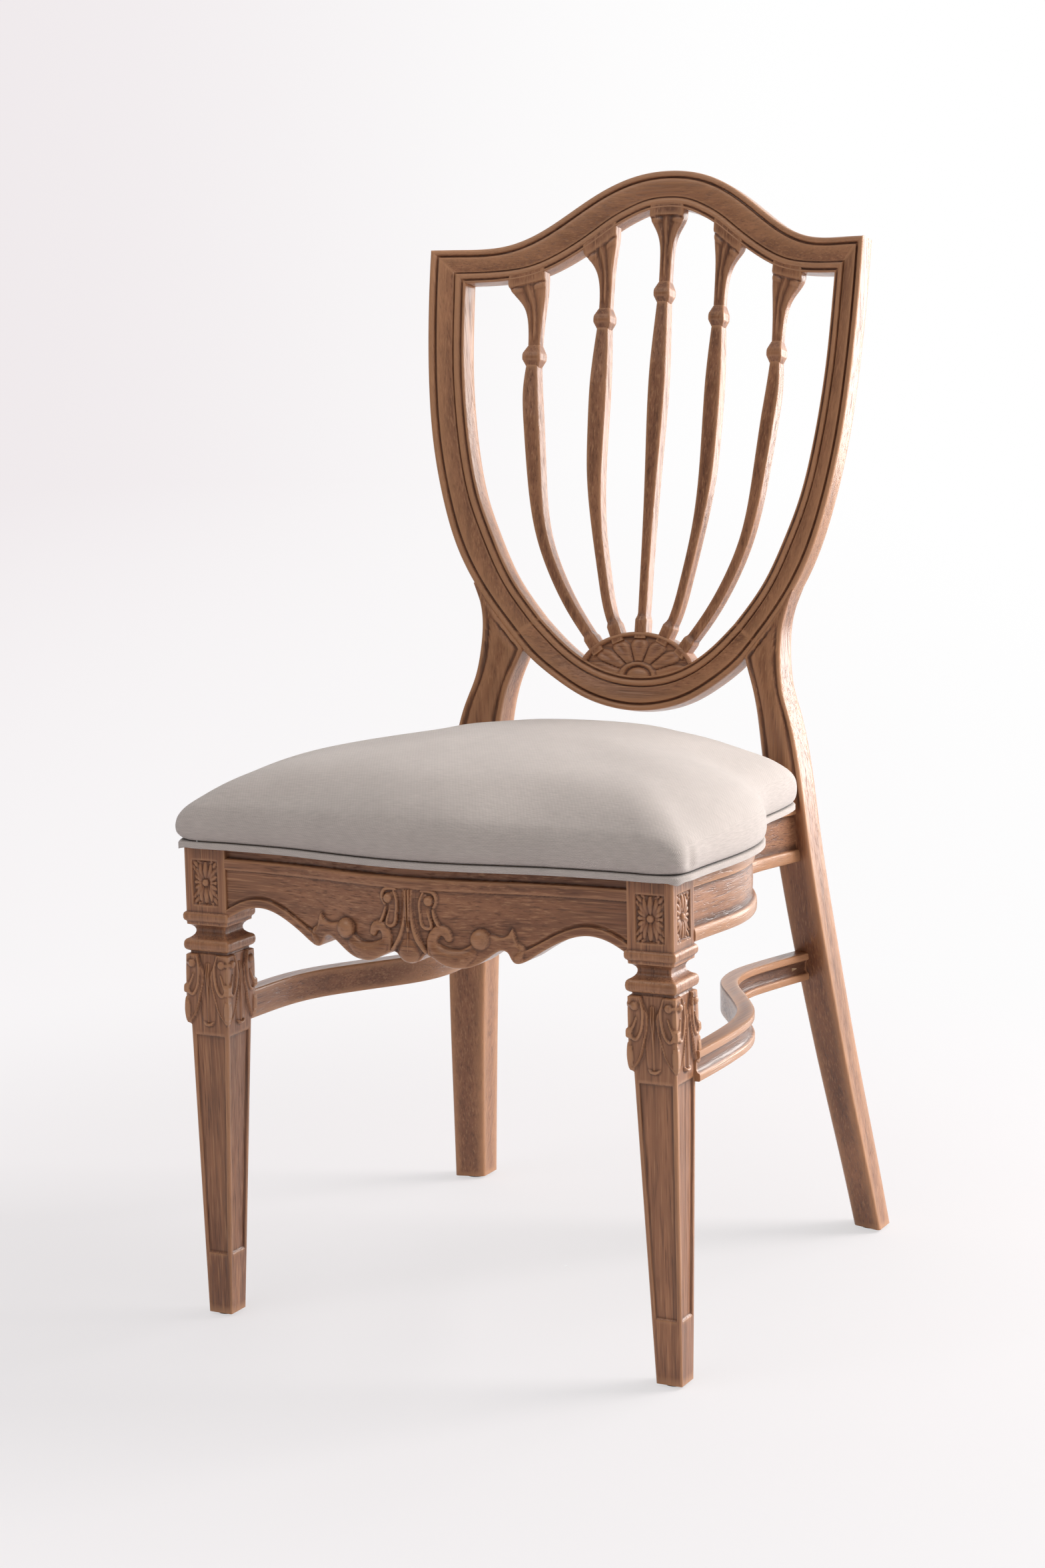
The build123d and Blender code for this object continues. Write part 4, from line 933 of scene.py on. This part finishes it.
# seat: padded linen over a board, a flat welt under it, a dust cloth below
seat = {
    "line": [(0, -22), (45, -19), (85, -12.5), (120, -7), (160, -4.5), (200, -4.5), (222, -3.5), (233, 4),
             (237, 25), (240, 75), (241, 122), (236, 160), (224, 192), (209, 220), (197.5, 246), (192, 272),
             (191, 302), (189, 332), (182, 360), (166, 375), (146, 381.5), (127, 389.5), (108, 399),
             (78, 403), (40, 404.2), (0, 404.5)],
    "middle": 185.0, "top": 409.0, "around": 480,
    "levels": [(6.0, 0.970), (7.2, 0.981), (10.5, 0.991), (16, 0.997), (24, 1.0), (32, 0.993), (39, 0.973),
               (45, 0.940), (50.5, 0.893), (56, 0.82), (61.5, 0.73), (66.5, 0.61), (70.5, 0.46), (73.2, 0.29),
               (74.4, 0.13), (74.6, 0.03)],
    "corners": [((230, 1), 5.0), ((176, 368), 4.0)],   # plan place and how far the cover sinks there
    "ridge": 1.4, "pleat": 2.2, "pleatAt": 15.0, "lean": 24.0, "sideways": 0.45,
    "rings": 85, "shrink": 0.997, "cap": 0.007, "voxel": 0.006, "calm": 40, "moments": 20,
    "cloth": {"quality": 6, "mass": 0.3, "tension_stiffness": 14, "compression_stiffness": 14,
              "shear_stiffness": 6, "bending_stiffness": 0.4, "use_pressure": True,
              "uniform_pressure_force": 4.0},
}


def seatLoop(scale, count):
    half = seat["line"]
    ring = np.array(list(half) + [(-x, y) for x, y in half[-2:0:-1]], float)
    chord = np.r_[0, np.cumsum(np.linalg.norm(np.diff(np.r_[ring, ring[:1]], axis=0), axis=1))]
    thrice = np.concatenate([ring, ring, ring, ring[:1]])
    knots = np.concatenate([chord[:-1], chord[:-1] + chord[-1], chord + 2 * chord[-1]])
    dense = cubic(knots, thrice)(np.linspace(chord[-1], 2 * chord[-1], count * 6, endpoint=False))
    dense = np.r_[dense, dense[:1]]
    run = np.r_[0, np.cumsum(np.linalg.norm(np.diff(dense, axis=0), axis=1))]
    at = np.linspace(0, run[-1], count, endpoint=False)
    loop = np.stack([np.interp(at, run, dense[:, k]) for k in range(2)], 1)
    return np.stack([loop[:, 0] * scale, seat["middle"] + (loop[:, 1] - seat["middle"]) * scale], 1)


def fromCorner(loop, corner):
    # distance round the edge from the nearer of a corner and its mirror
    run = np.r_[0, np.cumsum(np.linalg.norm(np.diff(np.r_[loop, loop[:1]], axis=0), axis=1))]
    away = np.full(len(loop), 1e9)
    for side in (-1, 1):
        at = run[np.argmin(np.hypot(loop[:, 0] - side * corner[0], loop[:, 1] - corner[1]))]
        gap = np.abs(run[:-1] - at)
        away = np.minimum(away, np.minimum(gap, run[-1] - gap))
    return away


def outward(loop):
    along = np.roll(loop, -1, 0) - np.roll(loop, 1, 0)
    along = along / np.linalg.norm(along, axis=1)[:, None]
    return np.stack([along[:, 1], -along[:, 0]], 1)


def makeCushion(name):
    count = len(seat["levels"])
    levels = cubic(np.arange(count), seat["levels"])(np.linspace(0, count - 1, seat["rings"]))
    sharp = seatLoop(1.0, seat["around"])
    soft = sharp.copy()
    for turn in range(60):                        # the plan loses its corners towards the crown
        soft = soft * 0.4 + (np.roll(soft, 6, 0) + np.roll(soft, -6, 0)) * 0.3
    away = [fromCorner(sharp, corner) for corner, sink in seat["corners"]]
    facing = outward(sharp)
    fold = seat["ridge"] * np.exp(-(away[0] / 6) ** 2)
    fold = fold - seat["pleat"] * np.exp(-((away[0] - seat["pleatAt"]) / 5) ** 2)
    middle = np.array([0, seat["middle"]])
    rings = []
    for rise, scale in levels:
        keep = step(scale, 0.35, 0.97)
        loop = middle + (sharp * keep + soft * (1 - keep) - middle) * scale
        loop[:, 1] += seat["lean"] * step(rise, 40, 75)
        low = 1 - step(rise, 14, 50)
        loop = loop + facing * (fold * low * step(rise, 7, 13))[:, None]
        z = np.full(len(loop), seat["top"] + rise)
        for gap, (corner, sink) in zip(away, seat["corners"]):
            z = z - sink * np.exp(-(gap / 60) ** 2) * step(rise, 16, 60) * scale ** 2
        rings.append(placed(loop[:, 0], loop[:, 1], z))
    return skin(name, rings, crease=180)


def evaluated(piece):
    return bpy.data.meshes.new_from_object(piece.evaluated_get(bpy.context.evaluated_depsgraph_get()))


def plump(piece):
    # blow up a remeshed copy, then lend its swelling to the cover, no point further than the cap
    home = spots(piece.data)
    middle = np.array([0, (seat["middle"] - drawing["middle"]) / 1000, 0.43])
    shrink = np.array([seat["shrink"], seat["shrink"], 0.98])
    work = bpy.data.objects.new("cushionWork", piece.data.copy())
    scene.collection.objects.link(work)
    work.data.vertices.foreach_set("co", ((home - middle) * shrink + middle).ravel())
    remesh = work.modifiers.new("remesh", "REMESH")
    remesh.mode = "VOXEL"
    remesh.voxel_size = seat["voxel"]
    dense = evaluated(work)
    work.modifiers.clear()
    work.data = dense
    start = spots(dense)
    held = work.vertex_groups.new(name="held")
    held.add(np.nonzero(start[:, 2] < (seat["top"] + 12.5) / 1000)[0].tolist(), 1.0, "REPLACE")
    cloth = work.modifiers.new("cloth", "CLOTH")
    for key, value in seat["cloth"].items():
        setattr(cloth.settings, key, value)
    cloth.settings.vertex_group_mass = "held"
    cloth.settings.effector_weights.gravity = 0
    cloth.collision_settings.use_collision = False
    for moment in range(1, seat["moments"] + 1):
        scene.frame_set(moment)
    blown = evaluated(work)
    before = (start - middle) / shrink + middle
    move = (spots(blown) - before) * np.array([seat["sideways"], seat["sideways"], 1])
    far = np.linalg.norm(move, axis=1)[:, None]
    move = move * np.minimum(1, seat["cap"] / np.maximum(far, 1e-9))
    near = KDTree(len(before))
    for k, spot in enumerate(before):
        near.insert(spot, k)
    near.balance()
    swell = np.zeros_like(home)
    for k, spot in enumerate(home):
        found = near.find_n(spot, 8)
        weight = np.array([1 / (gap + 0.003) for place, which, gap in found])
        swell[k] = weight @ move[[which for place, which, gap in found]] / weight.sum()
    swell = swell.reshape(seat["rings"], seat["around"], 3)
    above, below = np.r_[1:seat["rings"], -1], np.r_[0, 0:seat["rings"] - 1]
    for turn in range(seat["calm"]):              # a tight cover keeps no small wrinkles
        beside = np.roll(swell, 4, 1) + np.roll(swell, -4, 1)
        swell = swell * 0.4 + beside * 0.15 + (swell[above] + swell[below]) * 0.15
    swell = swell.reshape(-1, 3) * step(home[:, 2:], (seat["top"] + 9) / 1000, (seat["top"] + 24) / 1000)
    piece.data.vertices.foreach_set("co", (home + swell).ravel())
    scene.frame_set(1)
    bpy.data.objects.remove(work)
    print("cushion blown, swelling", np.round(swell.min(0) * 1000, 1), np.round(swell.max(0) * 1000, 1))


cushion = makeCushion("seatCushion")
plump(cushion)
stand(cushion, seatLinen, "seat_linen", "seat_cushion", "seat_border")


welt = {
    "out": 0.990, "in": 0.9655,                   # shares of the seat's outline
    "ear": 2.4, "earOut": 1.4, "earReach": 4.5, "dip": 0.5, "dipAt": 9.0, "dipReach": 4.0,
    "profile": [(1.0, 0.4), (1.0, 3.9), (0.86, 5.0), (0.5, 5.6), (0.0, 5.4), (0.0, 0.0), (0.8, 0.0)],
}


def makeWelt(name):
    outer, inner = (seatLoop(welt[edge], seat["around"]) for edge in ("out", "in"))
    away = fromCorner(outer, seat["corners"][0][0])
    ear = np.exp(-(away / welt["earReach"]) ** 2)
    dip = np.exp(-((away - welt["dipAt"]) / welt["dipReach"]) ** 2)
    outer = outer + outward(outer) * (welt["earOut"] * ear - welt["dip"] * dip)[:, None]
    rings = []
    for share, rise in welt["profile"]:
        p = inner + (outer - inner) * share
        z = seat["top"] + rise - welt["ear"] * ear * step(share, 0.55, 1.0) * (1 - rise / 9)
        rings.append(placed(p[:, 0], p[:, 1], z))
    return skin(name, np.stack(rings, 1), looped=True, crease=40)


stand(makeWelt("seatWelt"), seatLinen, "seat_linen", "seat_welt")


dustCover = {"share": 0.955, "end": 373.0, "around": 200, "rings": (1.0, 0.75, 0.5, 0.25, 0.02), "lift": 0.5}


def makeDustCover(name):
    edge = seatLoop(dustCover["share"], dustCover["around"])
    edge[:, 1] = np.minimum(edge[:, 1], dustCover["end"])   # the cloth stops before the rear apron
    middle = np.array([0, seat["middle"]])
    rings = []
    for scale in dustCover["rings"]:
        p = middle + (edge - middle) * scale
        rings.append(placed(p[:, 0], p[:, 1], seat["top"] + dustCover["lift"]))
    return skin(name, rings, capped=False, crease=60)


dust = stand(makeDustCover("seatDustCover"), dustCloth, "dust_cloth", "seat_dust_cover")
print("seat done")

# dowels drawn back where they would show through the finer surfaces
peg = {"axis": np.array([0.772, -0.365, -0.521]), "back": 0.009, "post": (0.147, 0.562), "leg": 0.2232}


def trimmedDowels(name, node, trim):
    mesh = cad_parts[node].data.copy()
    spot = spots(mesh)
    mirror = np.where(spot[:, :1] < 0, [-1.0, 1.0, 1.0], [1.0, 1.0, 1.0])
    mesh.vertices.foreach_set("co", (trim(spot * mirror) * mirror).ravel())
    return stand(settled(name, mesh, 40), dowelWood, "dowel_wood", node)


def shorter(spot):
    end = (spot[:, 0] > peg["post"][0]) & (spot[:, 2] > peg["post"][1])
    return spot - end[:, None] * peg["axis"] * peg["back"]


def flatter(spot):
    return np.minimum(spot, [peg["leg"], 9, 9])


trimmedDowels("postDowels", "post_dowels", shorter)
trimmedDowels("stretcherDowels", "stretcher_dowels", flatter)

# what stays from the frame
kept = {
    "rear_apron": woodAcross, "seat_board": plyWood, "seat_screws": screwSteel, "corner_screws": screwSteel,
    "foot_glides": glideNylon,
}
for name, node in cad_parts.items():
    finish = kept.get(name)
    if "corner_block" in name:
        finish = blockWood
    if name.endswith("dowels"):
        finish = dowelWood
    if finish:
        node.data.materials.clear()
        node.data.materials.append(finish)
print("frame pieces finished")

# floor, light and camera
studio = {
    "floor": (0.700, 0.672, 0.690), "far": (0.868, 0.822, 0.838), "bright": (1.0, 1.0, 1.0),
    "fade": (0.45, 1.3), "haze": 0.62,            # where the floor turns into backdrop, share before it
    # painted light: the sweep brightens the backdrop and the far floor to white towards the right, as the
    # studio light falls from that side
    "right": (0.886, 0.464, 0.0), "sweep": (-0.20, 0.11),   # way and span of the brightening to the right
    "reach": 16.5,                                # camera to the floor's far edge, metres
    "sky": 0.46, "skyTint": (1.0, 0.975, 0.965), "skySpan": (0.45, 1.55), "shineSpan": (0.10, 1.0),
    "lit": (0.50, 0.80, 0.33),                    # way in which the soft light is strongest
}


def makeFloor(name):
    r = np.r_[0.001, np.linspace(0.2, 3, 20), np.linspace(3.4, 14, 20)]
    a = np.linspace(0, 2 * math.pi, 64, endpoint=False)
    rings = np.stack([r[:, None] * np.cos(a), r[:, None] * np.sin(a), 0 * r[:, None] * a - 0.0005], -1)
    floor = skin(name, rings, capped=False, crease=180)
    finish, shader, add, join = nodeTree("studioFloor")
    where = add("ShaderNodeTexCoord")
    cloud = grain(add, join, where.outputs[3], 3.0, 2.0, 0.5)
    tone = tuple(v * 0.985 for v in studio["floor"])
    join(ramp(add, join, cloud, [(0.3, tone), (0.7, studio["floor"])]), shader.inputs["Base Color"])
    shader.inputs["Roughness"].default_value = 0.9
    shader.inputs["Specular IOR Level"].default_value = 0.1
    lean = add("ShaderNodeVectorMath", operation="DOT_PRODUCT")
    join(where.outputs[3], lean.inputs[0])
    lean.inputs[1].default_value = studio["right"]
    sweep = add("ShaderNodeMapRange", interpolation_type="SMOOTHSTEP")
    join(lean.outputs["Value"], sweep.inputs[0])
    for socket, value in zip(sweep.inputs[1:3], studio["sweep"]):
        socket.default_value = value * studio["reach"]
    # painted light: the floor's glow turns from the far colour to white towards the right
    glow = add("ShaderNodeEmission", in1=1.0)
    join(mixed(add, join, "MIX", sweep.outputs[0], studio["far"], studio["bright"]), glow.inputs[0])
    far = add("ShaderNodeVectorMath", operation="LENGTH")
    join(where.outputs[3], far.inputs[0])
    fade = add("ShaderNodeMapRange", interpolation_type="SMOOTHSTEP")
    fade.inputs[1].default_value, fade.inputs[2].default_value = studio["fade"]
    fade.inputs[3].default_value = studio["haze"]
    join(far.outputs["Value"], fade.inputs[0])
    path = add("ShaderNodeLightPath")
    seen = add("ShaderNodeMath", operation="MAXIMUM")
    join(path.outputs["Is Camera Ray"], seen.inputs[0])
    join(path.outputs["Is Glossy Ray"], seen.inputs[1])
    share = add("ShaderNodeMath", operation="MULTIPLY")
    join(fade.outputs[0], share.inputs[0])
    join(seen.outputs[0], share.inputs[1])
    blend = add("ShaderNodeMixShader")
    join(share.outputs[0], blend.inputs[0])
    join(shader.outputs[0], blend.inputs[1])
    join(glow.outputs[0], blend.inputs[2])
    out = finish.node_tree.nodes["Material Output"]
    join(blend.outputs[0], out.inputs[0])
    floor.data.materials.append(finish)


def makeSky():
    # a white studio whose backdrop is painted brighter to the right, as lit from that side; reflections and
    # soft light fall off behind the camera
    world = bpy.data.worlds.new("studioSky")
    scene.world = world
    world.use_nodes = True
    world.node_tree.nodes.clear()
    add, join = nodeTools(world.node_tree)

    def reach(way, low, high, least, most):
        lean = add("ShaderNodeVectorMath", operation="DOT_PRODUCT")
        join(where.outputs["Generated"], lean.inputs[0])
        lean.inputs[1].default_value = way
        span = add("ShaderNodeMapRange", interpolation_type="SMOOTHSTEP")
        join(lean.outputs["Value"], span.inputs[0])
        for socket, value in zip(span.inputs[1:5], (low, high, least, most)):
            socket.default_value = value
        return span.outputs[0]

    def light(colour, strength=None):
        # full strength where none is given
        node = add("ShaderNodeBackground")
        if isinstance(colour, tuple):
            node.inputs[0].default_value = (*colour, 1)
        else:
            join(colour, node.inputs[0])
        if strength is not None:
            join(strength, node.inputs[1])
        return node.outputs[0]

    def either(share, one, two):
        node = add("ShaderNodeMixShader")
        join(share, node.inputs[0])
        join(one, node.inputs[1])
        join(two, node.inputs[2])
        return node.outputs[0]

    where = add("ShaderNodeTexCoord")
    path = add("ShaderNodeLightPath")
    # painted light: what the camera sees of the sky goes from the far colour to white towards the right
    sweep = reach(studio["right"], *studio["sweep"], 0.0, 1.0)
    tone = mixed(add, join, "MIX", sweep, studio["far"], studio["bright"])
    seen = add("ShaderNodeMath", operation="MAXIMUM")
    join(path.outputs["Is Camera Ray"], seen.inputs[0])
    join(path.outputs["Is Transmission Ray"], seen.inputs[1])
    least, most = (studio["sky"] * share for share in studio["skySpan"])
    soft = light(studio["skyTint"], reach(studio["lit"], -1.0, 1.0, least, most))
    shine = light(tone, reach(studio["lit"], -0.7, 0.5, *studio["shineSpan"]))
    plain = light(tone)
    shown = either(seen.outputs[0], either(path.outputs["Is Glossy Ray"], soft, shine), plain)
    join(shown, add("ShaderNodeOutputWorld").inputs[0])


lamps = {
    "keyLamp": dict(spot=(1.95, 1.2, 1.7), power=66.0, size=1.1, colour=(1.0, 0.965, 0.94)),
    "rimLamp": dict(spot=(1.45, 2.35, 0.80), power=36.0, size=1.3, colour=(1.0, 0.985, 0.97)),
    "fillLamp": dict(spot=(-0.7, -2.2, 3.1), power=30.0, size=2.4, colour=(1.0, 0.985, 0.975)),
}
lampAim = (0, 0, 0.5)


def turnedTo(across, up, back):
    return Matrix(np.stack([across, up, back], 1).tolist()).to_4x4()


def makeLamp(name, spot, power, size, colour):
    lamp = bpy.data.lights.new(name, "AREA")
    lamp.energy = power
    lamp.size = size
    lamp.color = colour
    holder = bpy.data.objects.new(name, lamp)
    scene.collection.objects.link(holder)
    holder.visible_camera = False
    back = np.array(spot) - np.array(lampAim)
    back = back / np.linalg.norm(back)
    right = np.cross((0, 0, 1), back)
    right = right / np.linalg.norm(right)
    holder.matrix_world = Matrix.Translation(spot) @ turnedTo(right, np.cross(back, right), back)


photoView = {
    "yaw": 27.6526, "pitch": 8.9594, "roll": -1.2396, "spot": (1.14380, -2.24666, 0.83482), "lens": 67.108,
}


def makeCamera():
    yaw, pitch, roll = (math.radians(photoView[k]) for k in ("yaw", "pitch", "roll"))
    ahead = -np.array([math.sin(yaw) * math.cos(pitch), -math.cos(yaw) * math.cos(pitch), math.sin(pitch)])
    right = np.array([math.cos(yaw), math.sin(yaw), 0])
    up = np.cross(right, ahead)
    across = math.cos(roll) * right + math.sin(roll) * up
    upward = -math.sin(roll) * right + math.cos(roll) * up
    lens = bpy.data.cameras.new("photoCamera")
    lens.sensor_fit = "VERTICAL"
    lens.sensor_height = 36
    lens.lens = photoView["lens"]
    lens.clip_end = 50
    holder = bpy.data.objects.new("photoCamera", lens)
    scene.collection.objects.link(holder)
    holder.matrix_world = Matrix.Translation(photoView["spot"]) @ turnedTo(across, upward, -ahead)
    scene.camera = holder


makeFloor("studioFloor")
makeSky()
for name, values in lamps.items():
    makeLamp(name, **values)
makeCamera()
scene.view_settings.view_transform = "Standard"
print("studio ready")
